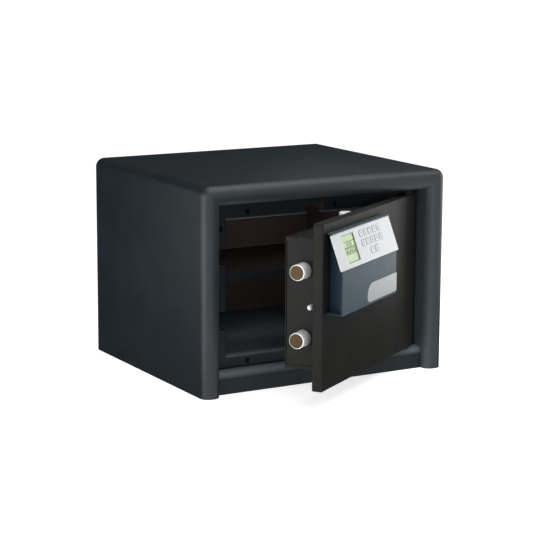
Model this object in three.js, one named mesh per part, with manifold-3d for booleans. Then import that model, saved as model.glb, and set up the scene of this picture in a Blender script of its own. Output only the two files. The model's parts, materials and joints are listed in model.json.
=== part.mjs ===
// Electronic home safe: a fire-resistant cabinet with a hinged door that carries a motor-driven bolt lock.
// Millimetres, +Z up. X runs along the front, Y runs into the depth, and the floor is Z = 0 under the centre.

import * as THREE from "three";
import { mergeVertices } from "three/addons/utils/BufferGeometryUtils.js";
import Module from "manifold-3d";

const wasm = await Module();
wasm.setup();

// Cabinet sizes
const CABINET_WIDTH = 440;
const CABINET_HEIGHT = 327;
const CABINET_DEPTH = 392;
const SHELL_SHEET = 2;
const BORDER_WIDTH = 31;
const BORDER_RADIUS = 14;
const SHELL_CORNER_RADIUS = 14.5;
const BACK_EDGE_RADIUS = 10;
const BACK_LIP = 7;
const BACK_PANEL_SHEET = 2;
const BACK_PANEL_MARGIN = 2;
const BASE_SHEET = 2;
const RECESS_DEPTH = 38;
const SILL_HEIGHT = 35.5;
const SILL_SETBACK = 17.5;
const SILL_RADIUS = 9;
const SILL_REAR_FLANGE = 22;

// Frame ring that the door closes against
const RING_SHEET = 2;
const RING_BAND = 28.5;
const RING_BOTTOM_BAND = 19.5;
const RING_LIP_DEPTH = 14;
const RING_LIP_SHEET = 1.5;
const RING_OUTER_MARGIN = 15;
const MITRE_SLIT = 0.8;
const MITRE_INSET = 2;
const LIP_HOLE_RADIUS = 1.6;
const LIP_HOLE_END_DISTANCE = 33.5;
const LIP_HOLE_DEPTH = 8;

// Liner and filling
const LINER_STEP = 4.5;
const BACK_WALL = 50;
const LINER_SHEET = 1.5;
const LINER_FLANGE = 34;
const FILL_GAP = 0.3;

// Shelf
const SHELF_RISE = 111.9;
const SHELF_SHEET = 1.5;
const SHELF_FRONT_FLANGE = 11;
const SHELF_DOOR_GAP = 48.3;
const SHELF_BACK_GAP = 6;
const SHELF_SIDE_GAP = 0.5;
const RAIL_SHEET = 1.5;
const RAIL_LEG = 10;
const RAIL_INSET = 8;

// Floor anchors
const ANCHOR_SPACING = 200;
const ANCHOR_Y = 20;
const ANCHOR_HOLE_RADIUS = 7;
const ANCHOR_PLUG_RADIUS = 12;
const ANCHOR_PLUG_HEAD = 3;
const ANCHOR_PLUG_LENGTH = 14;
const ANCHOR_PLUG_CHAMFER = 1;

// Frame screws
const SCREW_HEAD_RADIUS = 4;
const SCREW_HEAD_DEPTH = 1.6;
const SCREW_SHANK_RADIUS = 2;
const SCREW_LENGTH = 12;
const SCREW_RECESS_RADIUS = 1.6;
const SCREW_RECESS_DEPTH = 1;
const SCREW_CORNER_DISTANCE = 36.5;
const SCREW_BOLT_DISTANCE = 35;
const SCREW_TOP_RISE = 11.5;
const SCREW_SIDE_DROP = 12.5;
const SCREW_SIDE_INSET = 11;
const SCREW_BOTTOM_DROP = 10.5;

// Door
const DOOR_OPEN_DEGREES = 33.2;
const DOOR_THICKNESS = 16;
const DOOR_SKIN = 3;
const DOOR_EDGE_RADIUS = 2;
const DOOR_SIDE_GAP = 16;
const DOOR_TOP_GAP = 8.5;
const DOOR_SILL_GAP = 1.8;
const DOOR_FRAME_GAP = 5;
const DOOR_BACK_SHEET = 1.5;
const HINGE_EDGE_DISTANCE = 9;
const HINGE_PIN_RADIUS = 3;
const HINGE_PIN_ANCHOR = 11;
const HINGE_PIN_ENGAGEMENT = 11;
const HINGE_BUSH_WALL = 1.4;
const HINGE_BUSH_LENGTH = 14;
const CABLE_HOLE_RADIUS = 6;
const CABLE_HOLE_OFFSET = 3;
const CABLE_HOLE_RISE = 47.5;

// Lock case on the back of the door
const CASE_SIDE_CLEARANCE = 8.5;
const CASE_HINGE_CLEARANCE = 11.5;
const CASE_TOP_CLEARANCE = 6.9;
const CASE_BOTTOM_CLEARANCE = 8.7;
const CASE_DEPTH = 54.7;
const CASE_SHEET = 1.5;
const COVER_SHEET = 1.2;
const COVER_LIP = 5;

// Bolts
const SIDE_BOLT_RADIUS = 12;
const SIDE_BOLT_PROTRUSION = 22;
const SIDE_BOLT_INNER_LENGTH = 54;
const SIDE_BOLT_TOP_DISTANCE = 47.6;
const SIDE_BOLT_BOTTOM_DISTANCE = 47.3;
const BOLT_DEPTH = 41.5;
const BOLT_CHAMFER = 1.5;
const BOLT_THROW = 14;
const BOLT_SWING_CLEARANCE = 5;
const BOLT_NOTCH_CLEARANCE = 3;
const BOLT_POCKET_CLEARANCE = 5;
const BOLT_GUIDE_CLEARANCE = 0.35;
const BOLT_GUIDE_WALL = 5;
const BOLT_GUIDE_LENGTH = 22;
const TOP_BOLT_RADIUS = 11;
const TOP_BOLT_X = -2;
const TOP_BOLT_PROTRUSION = 18.4;
const TOP_BOLT_INNER_LENGTH = 28;
const TOP_BOLT_GUIDE_LENGTH = 16;
const TOP_NOTCH_CLEARANCE = 6;
const TOP_NOTCH_LEFT = 5;
const TOP_NOTCH_RIGHT = 4;

// Bolt drive
const GEAR_MODULE = 2;
const GEAR_TEETH = 16;
const PINION_TEETH = 8;
const GEAR_RISE = 39;
const TOOTH_ADDENDUM = 1.7;
const TOOTH_DEDENDUM = 2.1;
const TOOTH_TIP_WIDTH = 1.1;
const TOOTH_ROOT_WIDTH = 2.9;
const RACK_LAYER = 6;
const RACK_LAYER_GAP = 1.2;
const RACK_BACKING = 8;
const STEM_WIDTH = 10;
const RACK_TEETH = 5;
const BAR_THICKNESS = 5;
const BAR_END_MARGIN = 13;
const SPINDLE_RADIUS = 4;
const SHAFT_CLEARANCE = 0.3;
const MOTOR_RADIUS = 12;
const MOTOR_SHAFT_RADIUS = 2.5;
const MOTOR_GAP = 1;
const SHAFT_END = 2;

// Door contact plunger
const PLUNGER_RADIUS = 4;
const PLUNGER_PROTRUSION = 6.5;
const PLUNGER_INNER_LENGTH = 16;
const PLUNGER_DEPTH = 29;
const PLUNGER_DROP = 3;
const PLUNGER_GUIDE_WALL = 3;
const PLUNGER_GUIDE_LENGTH = 22;
const PLUNGER_GUIDE_END = 2;

// Lock housing on the front of the door
const HOUSING_WIDTH = 198;
const HOUSING_HEIGHT = 120.8;
const HOUSING_EDGE_DISTANCE = 11;
const HOUSING_TOP_DISTANCE = 14.2;
const HOUSING_DEPTH = 27;
const HOUSING_FRONT_SHEET = 3;
const HOUSING_WALL = 2;
const HOUSING_FLOOR_SHEET = 1.8;
const HOUSING_CAP_SHEET = 1.5;
const GRIP_RECESS = 14;
const PANEL_OVERHANG = 4.5;
const PANEL_BOTTOM_PROUD = 1.5;
const PANEL_DROP = 53.6;
const PANEL_TOP_DEPTH = 10;
const PANEL_THICKNESS = 3;
const PANEL_CORNER_RADIUS = 1.2;
const PANEL_RIM = 4;
const CAP_CHAMFER = 6;
const FACE_TOP_GAP = 1;

// Display
const DISPLAY_WIDTH = 41;
const DISPLAY_HEIGHT = 42;
const DISPLAY_DISTANCE = 45.2;
const DISPLAY_START = 5.7;
const DISPLAY_MARGIN = 1;
const BOARD_DEPTH = 6.5;
const BOARD_THICKNESS = 1.6;
const BOARD_MARGIN = 9;

// Keys
const KEY_PITCH = 16;
const KEY_WIDTH = 12.5;
const KEY_HEIGHT = 9;
const KEY_CORNER_RADIUS = 1.5;
const KEY_PROUD = 0.8;
const KEY_FLANGE = 0.8;
const KEY_FLANGE_THICKNESS = 0.8;
const KEY_STEM_DEPTH = 5.2;
const KEY_STEM_WIDTH = 5;
const KEYS_DISTANCE = 75;
const KEY_ROW_STARTS = [11.5, 25.7, 40.4];
const KEY_ROW_COUNTS = [5, 5, 2];

// Battery bay
const BATTERY_COVER_WIDTH = 108.5;
const BATTERY_COVER_RISE = 3.5;
const BATTERY_COVER_HEIGHT = 29;
const BATTERY_COVER_LARGE_RADIUS = 19;
const BATTERY_COVER_SMALL_RADIUS = 9;
const BATTERY_COVER_PROUD = 1;
const BATTERY_RECESS = 2;
const BATTERY_RADIUS = 5.25;
const BATTERY_LENGTH = 44;
const BATTERY_NUB_RADIUS = 2;
const BATTERY_NUB_LENGTH = 0.8;
const BATTERY_BAY_DEPTH = 15;
const BATTERY_BAY_WALL = 1.5;
const BATTERY_BAY_MARGIN = 3.5;
const BATTERY_BAY_END_MARGIN = 8.5;
const COVER_TAB_DEPTH = 2.2;
const COVER_TAB_WIDTH = 5;
const COVER_TAB_HEIGHT = 10;

// Clearance between pieces that seat on or run in one another
const FIT = 0.3;

// How far a cutting body runs past the faces that it cuts, and how deep joined bodies run into each other
const OVERCUT = 1;
const JOIN_OVERLAP = 1;

// Places worked out from the sizes
const HALF_WIDTH = CABINET_WIDTH / 2;
const FRONT_Y = -CABINET_DEPTH / 2;
const BACK_Y = CABINET_DEPTH / 2;
const OPENING_HALF = HALF_WIDTH - BORDER_WIDTH;
const OPENING_TOP = CABINET_HEIGHT - BORDER_WIDTH;
const RING_Y = FRONT_Y + RECESS_DEPTH;
const RING_HALF = OPENING_HALF - RING_BAND;
const RING_TOP = OPENING_TOP - RING_BAND;
const RING_BOTTOM = SILL_HEIGHT + RING_BOTTOM_BAND;
const RING_BACK_Y = RING_Y + RING_SHEET;
const RING_LIP_BACK_Y = RING_Y + RING_LIP_DEPTH;
const INTERIOR_HALF = RING_HALF + LINER_STEP;
const INTERIOR_TOP = RING_TOP + LINER_STEP;
const INTERIOR_FLOOR = RING_BOTTOM - LINER_STEP;
const INTERIOR_BACK = BACK_Y - BACK_WALL;
const SHELF_TOP = INTERIOR_FLOOR + SHELF_RISE;

const DOOR_HALF = OPENING_HALF - DOOR_SIDE_GAP;
const DOOR_BOTTOM = SILL_HEIGHT + DOOR_SILL_GAP;
const DOOR_TOP = OPENING_TOP - DOOR_TOP_GAP;
const DOOR_BACK_Y = RING_Y - DOOR_FRAME_GAP;
const DOOR_FRONT_Y = DOOR_BACK_Y - DOOR_THICKNESS;
const HINGE_X = DOOR_HALF - HINGE_EDGE_DISTANCE;
const HINGE_Y = DOOR_FRONT_Y + DOOR_THICKNESS / 2;

const CASE_CLOSING_X = -(RING_HALF - CASE_SIDE_CLEARANCE);
const CASE_HINGE_X = RING_HALF - CASE_HINGE_CLEARANCE;
const CASE_TOP = RING_TOP - CASE_TOP_CLEARANCE;
const CASE_BOTTOM = RING_BOTTOM + CASE_BOTTOM_CLEARANCE;
const CASE_FRONT_Y = DOOR_BACK_Y + FIT;
const CASE_BACK_Y = DOOR_BACK_Y + CASE_DEPTH;
const CASE_WALL_X = CASE_CLOSING_X + COVER_SHEET + FIT;
const CASE_INNER_X = CASE_WALL_X + CASE_SHEET;
const CASE_FLOOR_Y = CASE_FRONT_Y + CASE_SHEET;

const SHELF_FRONT_Y = CASE_BACK_Y + SHELF_DOOR_GAP;

const BOLT_Y = DOOR_FRONT_Y + BOLT_DEPTH;
const SIDE_BOLT_UPPER_Z = CASE_TOP - SIDE_BOLT_TOP_DISTANCE;
const SIDE_BOLT_LOWER_Z = CASE_BOTTOM + SIDE_BOLT_BOTTOM_DISTANCE;
const SIDE_BOLT_TIP_X = CASE_CLOSING_X - SIDE_BOLT_PROTRUSION;
const SIDE_BOLT_END_X = CASE_CLOSING_X + SIDE_BOLT_INNER_LENGTH;
const SIDE_NOTCH_X = SIDE_BOLT_TIP_X - BOLT_SWING_CLEARANCE;
const SIDE_POCKET_X = SIDE_BOLT_TIP_X - BOLT_THROW - BOLT_POCKET_CLEARANCE;
const TOP_BOLT_TIP_Z = CASE_TOP + TOP_BOLT_PROTRUSION;
const TOP_BOLT_END_Z = CASE_TOP - TOP_BOLT_INNER_LENGTH;
const TOP_NOTCH_Z = TOP_BOLT_TIP_Z + TOP_NOTCH_CLEARANCE;
const TOP_NOTCH_X0 = TOP_BOLT_X - TOP_BOLT_RADIUS - TOP_NOTCH_LEFT;
const TOP_NOTCH_X1 = TOP_BOLT_X + TOP_BOLT_RADIUS + TOP_NOTCH_RIGHT;
const TOP_POCKET_Z = TOP_BOLT_TIP_Z + BOLT_THROW + BOLT_NOTCH_CLEARANCE;

const SCREW_CORNER_X = -RING_HALF + SCREW_CORNER_DISTANCE;
const SCREW_BOLT_X = TOP_BOLT_X + SCREW_BOLT_DISTANCE;
const SCREW_SIDE_X = -(RING_HALF + SCREW_SIDE_INSET);
const SCREW_TOP_Z = RING_TOP + SCREW_TOP_RISE;
const SCREW_SIDE_Z = RING_TOP - SCREW_SIDE_DROP;
const SCREW_BOTTOM_Z = RING_BOTTOM - SCREW_BOTTOM_DROP;

const GEAR_RADIUS = (GEAR_MODULE * GEAR_TEETH) / 2;
const PINION_RADIUS = (GEAR_MODULE * PINION_TEETH) / 2;
const STEM_PITCH_X = TOP_BOLT_X - STEM_WIDTH / 2 - TOOTH_ADDENDUM;
const GEAR_X = STEM_PITCH_X - GEAR_RADIUS;
const GEAR_Z = SIDE_BOLT_LOWER_Z + GEAR_RISE;
const PINION_Z = GEAR_Z - GEAR_RADIUS - PINION_RADIUS;
const STEM_Y = BOLT_Y - RACK_LAYER / 2;
const ARM_Y = STEM_Y + RACK_LAYER + RACK_LAYER_GAP;
const GEAR_FRONT_Y = STEM_Y;
const GEAR_BACK_Y = ARM_Y + RACK_LAYER;

const PLUNGER_Y = DOOR_FRONT_Y + PLUNGER_DEPTH;
const PLUNGER_Z = (SIDE_BOLT_UPPER_Z + SIDE_BOLT_LOWER_Z) / 2 - PLUNGER_DROP;

const HOUSING_LEFT_X = -DOOR_HALF + HOUSING_EDGE_DISTANCE;
const HOUSING_RIGHT_X = HOUSING_LEFT_X + HOUSING_WIDTH;
const HOUSING_TOP = DOOR_TOP - HOUSING_TOP_DISTANCE;
const HOUSING_BOTTOM = HOUSING_TOP - HOUSING_HEIGHT;
const HOUSING_BACK_Y = DOOR_FRONT_Y - FIT;
const HOUSING_FRONT_Y = DOOR_FRONT_Y - HOUSING_DEPTH;
const PANEL_BOTTOM_Y = HOUSING_FRONT_Y - PANEL_BOTTOM_PROUD;
const PANEL_TOP_Y = DOOR_FRONT_Y - PANEL_TOP_DEPTH;
const PANEL_TOP_Z = HOUSING_TOP - HOUSING_CAP_SHEET - FIT;
const PANEL_BOTTOM_Z = HOUSING_TOP - PANEL_DROP;
const PANEL_LENGTH = Math.hypot(PANEL_TOP_Y - PANEL_BOTTOM_Y, PANEL_TOP_Z - PANEL_BOTTOM_Z);
const PANEL_TILT = Math.atan2(PANEL_BOTTOM_Z - PANEL_TOP_Z, PANEL_BOTTOM_Y - PANEL_TOP_Y);
const COVER_RIGHT_X = HOUSING_RIGHT_X;
const COVER_LEFT_X = COVER_RIGHT_X - BATTERY_COVER_WIDTH;
const COVER_BOTTOM_Z = HOUSING_BOTTOM + BATTERY_COVER_RISE;
const COVER_TOP_Z = COVER_BOTTOM_Z + BATTERY_COVER_HEIGHT;
const BAY_FLOOR_Y = HOUSING_FRONT_Y + BATTERY_RECESS + BATTERY_BAY_DEPTH;
const DISPLAY_CENTRE_X = HOUSING_LEFT_X + DISPLAY_DISTANCE;
const KEYS_CENTRE_X = HOUSING_RIGHT_X - KEYS_DISTANCE;
const CABLE_HOLE_X = (HOUSING_LEFT_X + HOUSING_RIGHT_X) / 2 + CABLE_HOLE_OFFSET;
const CABLE_HOLE_Z = HOUSING_BOTTOM + CABLE_HOLE_RISE;

const CIRCLE_SEGMENTS = 28;
const SMALL_CIRCLE_SEGMENTS = 16;
const ARC_SEGMENTS = 3;
const BEVEL_SEGMENTS = 5;
const KEY_ARC_SEGMENTS = 1;
const HEXAGON_SIDES = 6;

// Solids: geometry turned into a manifold that can be joined and cut, and back again

function solid(geometry) {
  const bare = geometry.clone();
  bare.deleteAttribute("normal");
  bare.deleteAttribute("uv");
  const merged = mergeVertices(bare, 1e-4);
  const mesh = new wasm.Mesh({
    numProp: 3,
    vertProperties: new Float32Array(merged.attributes.position.array),
    triVerts: new Uint32Array(merged.index.array),
  });
  return new wasm.Manifold(mesh);
}

function geometryOf(manifold) {
  const mesh = manifold.getMesh();
  const geometry = new THREE.BufferGeometry();
  geometry.setAttribute("position", new THREE.BufferAttribute(new Float32Array(mesh.vertProperties), 3));
  geometry.setIndex(new THREE.BufferAttribute(new Uint32Array(mesh.triVerts), 1));
  geometry.computeVertexNormals();
  return geometry;
}

function block(x0, x1, y0, y1, z0, z1) {
  const geometry = new THREE.BoxGeometry(x1 - x0, y1 - y0, z1 - z0);
  geometry.translate((x0 + x1) / 2, (y0 + y1) / 2, (z0 + z1) / 2);
  return solid(geometry);
}

function joined(parts) {
  return parts.reduce((whole, part) => whole.add(part));
}

function cut(whole, tools) {
  return tools.reduce((rest, tool) => rest.subtract(tool), whole);
}

// Extrusions: the outline is drawn in the two axes that the name leaves over

const ALONG_X = new THREE.Matrix4().makeBasis(
  new THREE.Vector3(0, 1, 0),
  new THREE.Vector3(0, 0, 1),
  new THREE.Vector3(1, 0, 0),
);
const ALONG_Y = new THREE.Matrix4().makeBasis(
  new THREE.Vector3(1, 0, 0),
  new THREE.Vector3(0, 0, 1),
  new THREE.Vector3(0, -1, 0),
);

function extrude(shape, length, bevel = 0, curveSegments = ARC_SEGMENTS) {
  return new THREE.ExtrudeGeometry(shape, {
    depth: length - 2 * bevel,
    bevelEnabled: bevel > 0,
    bevelSize: bevel,
    bevelThickness: bevel,
    bevelSegments: BEVEL_SEGMENTS,
    curveSegments,
    steps: 1,
  }).translate(0, 0, bevel);
}

// Outline in (y, z)
function extrudeAlongX(shape, x0, x1) {
  return solid(extrude(shape, x1 - x0).applyMatrix4(ALONG_X).translate(x0, 0, 0));
}

// Outline in (x, z), with edges rounded by the bevel at both ends
function extrudeAlongY(shape, y0, y1, bevel = 0) {
  return solid(extrude(shape, y1 - y0, bevel).applyMatrix4(ALONG_Y).translate(0, y1, 0));
}

function rectangle(x0, x1, z0, z1, radius = 0) {
  const path = new THREE.Shape();
  if (radius <= 0) {
    path.moveTo(x0, z0);
    path.lineTo(x1, z0);
    path.lineTo(x1, z1);
    path.lineTo(x0, z1);
    path.closePath();
    return path;
  }
  path.moveTo(x0 + radius, z0);
  path.absarc(x1 - radius, z0 + radius, radius, -Math.PI / 2, 0, false);
  path.absarc(x1 - radius, z1 - radius, radius, 0, Math.PI / 2, false);
  path.absarc(x0 + radius, z1 - radius, radius, Math.PI / 2, Math.PI, false);
  path.absarc(x0 + radius, z0 + radius, radius, Math.PI, 1.5 * Math.PI, false);
  path.closePath();
  return path;
}

// Outline through points, given as [a, b] pairs
function polygon(points) {
  return new THREE.Shape(points.map(([a, b]) => new THREE.Vector2(a, b)));
}

function rodAlongX(radius, x0, x1, y, z, segments = CIRCLE_SEGMENTS) {
  const geometry = new THREE.CylinderGeometry(radius, radius, x1 - x0, segments);
  return solid(geometry.rotateZ(Math.PI / 2).translate((x0 + x1) / 2, y, z));
}

function rodAlongY(radius, y0, y1, x, z, segments = CIRCLE_SEGMENTS) {
  const geometry = new THREE.CylinderGeometry(radius, radius, y1 - y0, segments);
  return solid(geometry.translate(x, (y0 + y1) / 2, z));
}

function rodAlongZ(radius, z0, z1, x, y, segments = CIRCLE_SEGMENTS) {
  const geometry = new THREE.CylinderGeometry(radius, radius, z1 - z0, segments);
  return solid(geometry.rotateX(Math.PI / 2).translate(x, y, (z0 + z1) / 2));
}

// Cylinder with its far end chamfered, lying along +Y before it is turned
function chamferedRod(radius, length, chamfer, segments = CIRCLE_SEGMENTS) {
  const profile = [
    new THREE.Vector2(0, 0),
    new THREE.Vector2(radius, 0),
    new THREE.Vector2(radius, length - chamfer),
    new THREE.Vector2(radius - chamfer, length),
    new THREE.Vector2(0, length),
  ];
  return new THREE.LatheGeometry(profile, segments);
}

// Finishes, one per kind of surface
const FINISHES = {
  shellPaint: { color: 0x2a2f33, roughness: 0.5, metalness: 0.1 },
  doorPaint: { color: 0x2c2c2a, roughness: 0.55, metalness: 0.1 },
  linerPaint: { color: 0x1b1817, roughness: 0.7, metalness: 0.05 },
  fill: { color: 0x9a958a, roughness: 0.95, metalness: 0 },
  boltSteel: { color: 0xd8d9da, roughness: 0.16, metalness: 1 },
  zincSteel: { color: 0xa8acae, roughness: 0.35, metalness: 1 },
  darkScrew: { color: 0x24272a, roughness: 0.4, metalness: 0.8 },
  housingPlastic: { color: 0x3f5568, roughness: 0.5, metalness: 0.1 },
  silverPlastic: { color: 0xd9dcdd, roughness: 0.35, metalness: 0.3 },
  displayGlass: { color: 0xbfdc9a, roughness: 0.15, metalness: 0 },
  board: { color: 0x1f5a35, roughness: 0.6, metalness: 0 },
  cell: { color: 0x6a6f75, roughness: 0.35, metalness: 0.6 },
  bushPlastic: { color: 0xe4e0d4, roughness: 0.5, metalness: 0 },
  plugPlastic: { color: 0x191919, roughness: 0.7, metalness: 0 },
  gearBrass: { color: 0xb89352, roughness: 0.35, metalness: 1 },
};

function piece(name, manifold, finish) {
  const mesh = new THREE.Mesh(geometryOf(manifold), new THREE.MeshStandardMaterial(FINISHES[finish]));
  mesh.name = name;
  return mesh;
}

// Outer shell: a hollow rounded border round the opening, carried back as one wall

// Everything behind a plane that faces the front
function behind(y) {
  return block(-CABINET_WIDTH, CABINET_WIDTH, y, 2 * CABINET_DEPTH, -CABINET_HEIGHT, 2 * CABINET_HEIGHT);
}

function borderBody(inset) {
  const margin = 3 * BORDER_RADIUS;
  const outline = rectangle(
    -(HALF_WIDTH - BORDER_RADIUS),
    HALF_WIDTH - BORDER_RADIUS,
    -2 * margin,
    CABINET_HEIGHT - BORDER_RADIUS,
    SHELL_CORNER_RADIUS - BORDER_RADIUS,
  );
  const openingHalf = OPENING_HALF + BORDER_RADIUS;
  outline.holes.push(rectangle(-openingHalf, openingHalf, -margin, OPENING_TOP + BORDER_RADIUS));
  const bevel = BORDER_RADIUS - inset;
  return extrudeAlongY(outline, FRONT_Y + inset, RING_Y + margin, bevel).subtract(behind(RING_Y));
}

function wallBody(inset, yStart) {
  const outline = rectangle(
    -(HALF_WIDTH - BACK_EDGE_RADIUS),
    HALF_WIDTH - BACK_EDGE_RADIUS,
    -CABINET_HEIGHT / 2,
    CABINET_HEIGHT - BACK_EDGE_RADIUS,
    SHELL_CORNER_RADIUS - BACK_EDGE_RADIUS,
  );
  const bevel = BACK_EDGE_RADIUS - inset;
  return extrudeAlongY(outline, 2 * FRONT_Y, BACK_Y - inset, bevel).intersect(behind(yStart));
}

function pinHole(z0, z1) {
  return rodAlongZ(HINGE_PIN_RADIUS + FIT, z0, z1, HINGE_X, HINGE_Y, SMALL_CIRCLE_SEGMENTS);
}

function outerShell() {
  const skin = borderBody(0).add(wallBody(0, RING_Y));
  const rearHalf = HALF_WIDTH - BACK_EDGE_RADIUS - BACK_LIP;
  const rearTop = CABINET_HEIGHT - BACK_EDGE_RADIUS - BACK_LIP;
  return cut(skin, [
    borderBody(SHELL_SHEET),
    wallBody(SHELL_SHEET, RING_Y),
    block(-rearHalf, rearHalf, 0, CABINET_DEPTH, -CABINET_HEIGHT, rearTop),
    block(-CABINET_WIDTH, CABINET_WIDTH, 2 * FRONT_Y, 2 * BACK_Y, -CABINET_HEIGHT, 0),
    pinHole(OPENING_TOP - OVERCUT, OPENING_TOP + SHELL_SHEET + OVERCUT),
  ]);
}

function backPanel() {
  const half = HALF_WIDTH - BACK_EDGE_RADIUS - BACK_PANEL_MARGIN;
  const top = CABINET_HEIGHT - BACK_EDGE_RADIUS - BACK_PANEL_MARGIN;
  const y1 = BACK_Y - SHELL_SHEET;
  return block(-half, half, y1 - BACK_PANEL_SHEET, y1, BASE_SHEET + FIT, top);
}

function anchorHoles(z0, z1) {
  return [-1, 1].map((side) =>
    rodAlongZ(ANCHOR_HOLE_RADIUS, z0, z1, (side * ANCHOR_SPACING) / 2, ANCHOR_Y, SMALL_CIRCLE_SEGMENTS),
  );
}

function basePanel() {
  const half = HALF_WIDTH - SHELL_SHEET;
  const rear = BACK_Y - SHELL_SHEET - BACK_EDGE_RADIUS;
  return cut(block(-half, half, RING_BACK_Y, rear, 0, BASE_SHEET), anchorHoles(-OVERCUT, BASE_SHEET + OVERCUT));
}

function frontSill() {
  const y0 = FRONT_Y + SILL_SETBACK;
  const yArc = y0 + SILL_RADIUS;
  const zArc = SILL_HEIGHT - SILL_RADIUS;
  const inner = SILL_RADIUS - SHELL_SHEET;
  const flangeZ = SILL_HEIGHT - SILL_REAR_FLANGE;
  const path = new THREE.Shape();
  path.moveTo(y0, 0);
  path.lineTo(y0 + SHELL_SHEET, 0);
  path.lineTo(y0 + SHELL_SHEET, zArc);
  path.absarc(yArc, zArc, inner, Math.PI, Math.PI / 2, true);
  path.lineTo(RING_Y - SHELL_SHEET, SILL_HEIGHT - SHELL_SHEET);
  path.lineTo(RING_Y - SHELL_SHEET, flangeZ);
  path.lineTo(RING_Y, flangeZ);
  path.lineTo(RING_Y, SILL_HEIGHT);
  path.lineTo(yArc, SILL_HEIGHT);
  path.absarc(yArc, zArc, SILL_RADIUS, Math.PI / 2, Math.PI, false);
  path.closePath();
  const hole = pinHole(SILL_HEIGHT / 2, SILL_HEIGHT + OVERCUT);
  return extrudeAlongX(path, -OPENING_HALF, OPENING_HALF).subtract(hole);
}

// Openings that the bolts swing through, cut from the ring and from the liner behind it

function boltNotches(y0, y1) {
  const halfHeight = SIDE_BOLT_RADIUS + BOLT_NOTCH_CLEARANCE;
  const side = [SIDE_BOLT_UPPER_Z, SIDE_BOLT_LOWER_Z].map((z) =>
    block(SIDE_NOTCH_X, -RING_HALF + OVERCUT, y0, y1, z - halfHeight, z + halfHeight),
  );
  return [...side, block(TOP_NOTCH_X0, TOP_NOTCH_X1, y0, y1, RING_TOP - OVERCUT, TOP_NOTCH_Z)];
}

const SCREW_PLACES = [
  { name: "frame_screw_top_left", x: SCREW_CORNER_X, z: SCREW_TOP_Z },
  { name: "frame_screw_top_right", x: SCREW_BOLT_X, z: SCREW_TOP_Z },
  { name: "frame_screw_left", x: SCREW_SIDE_X, z: SCREW_SIDE_Z },
  { name: "frame_screw_bottom", x: SCREW_CORNER_X, z: SCREW_BOTTOM_Z },
];

// Countersunk screw with its head face at the origin, pointing along +Y
function screwProfile(grow) {
  const head = SCREW_HEAD_RADIUS + grow;
  const shank = SCREW_SHANK_RADIUS + grow;
  return [
    new THREE.Vector2(0, 0),
    new THREE.Vector2(head, 0),
    new THREE.Vector2(shank, SCREW_HEAD_DEPTH),
    new THREE.Vector2(shank, SCREW_LENGTH + grow),
    new THREE.Vector2(0, SCREW_LENGTH + grow),
  ];
}

function screwBody(place, grow) {
  const geometry = new THREE.LatheGeometry(screwProfile(grow), SMALL_CIRCLE_SEGMENTS);
  return solid(geometry.translate(place.x, RING_Y, place.z));
}

function screwHoles() {
  return SCREW_PLACES.map((place) => {
    const mouth = SCREW_HEAD_RADIUS + FIT;
    const mouthBody = rodAlongY(mouth, RING_Y - OVERCUT, RING_Y, place.x, place.z, SMALL_CIRCLE_SEGMENTS);
    return screwBody(place, FIT).add(mouthBody);
  });
}

function frameScrew(place) {
  const radius = SCREW_RECESS_RADIUS;
  const recess = new THREE.CylinderGeometry(radius, radius, 2 * SCREW_RECESS_DEPTH, HEXAGON_SIDES);
  return screwBody(place, 0).subtract(solid(recess.translate(place.x, RING_Y, place.z)));
}

function mitreSlits() {
  const corners = [
    [-1, RING_TOP, 1],
    [1, RING_TOP, 1],
    [-1, RING_BOTTOM, -1],
    [1, RING_BOTTOM, -1],
  ];
  return corners.map(([side, z, up]) => {
    const band = up > 0 ? RING_BAND : RING_BOTTOM_BAND;
    const length = band * Math.SQRT2;
    const slit = new THREE.BoxGeometry(length, RING_LIP_DEPTH + 2 * OVERCUT, MITRE_SLIT);
    slit.rotateY((-side * up * Math.PI) / 4);
    const reach = (band - MITRE_INSET) / 2;
    slit.translate(side * (RING_HALF + reach), RING_Y + RING_LIP_DEPTH / 2, z + up * reach);
    return solid(slit);
  });
}

function lipHoles() {
  const z0 = RING_BOTTOM - RING_LIP_SHEET - OVERCUT;
  return [-1, 1].map((side) =>
    rodAlongZ(
      LIP_HOLE_RADIUS,
      z0,
      RING_BOTTOM + OVERCUT,
      side * (RING_HALF - LIP_HOLE_END_DISTANCE),
      RING_Y + LIP_HOLE_DEPTH,
      SMALL_CIRCLE_SEGMENTS,
    ),
  );
}

function frameRing() {
  const half = OPENING_HALF + RING_OUTER_MARGIN;
  const outer = rectangle(-half, half, SILL_HEIGHT - SILL_REAR_FLANGE, OPENING_TOP + RING_OUTER_MARGIN);
  outer.holes.push(rectangle(-RING_HALF, RING_HALF, RING_BOTTOM, RING_TOP));
  const lipOuter = rectangle(
    -RING_HALF - RING_LIP_SHEET,
    RING_HALF + RING_LIP_SHEET,
    RING_BOTTOM - RING_LIP_SHEET,
    RING_TOP + RING_LIP_SHEET,
  );
  lipOuter.holes.push(rectangle(-RING_HALF, RING_HALF, RING_BOTTOM, RING_TOP));
  const ring = extrudeAlongY(outer, RING_Y, RING_BACK_Y).add(extrudeAlongY(lipOuter, RING_Y, RING_LIP_BACK_Y));
  const notches = boltNotches(RING_Y - OVERCUT, RING_LIP_BACK_Y + OVERCUT);
  return cut(ring, [...notches, ...screwHoles(), ...mitreSlits(), ...lipHoles()]);
}

// Liner: the sheet box inside, a front flange behind the ring, and pockets that the thrown bolts enter

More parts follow.
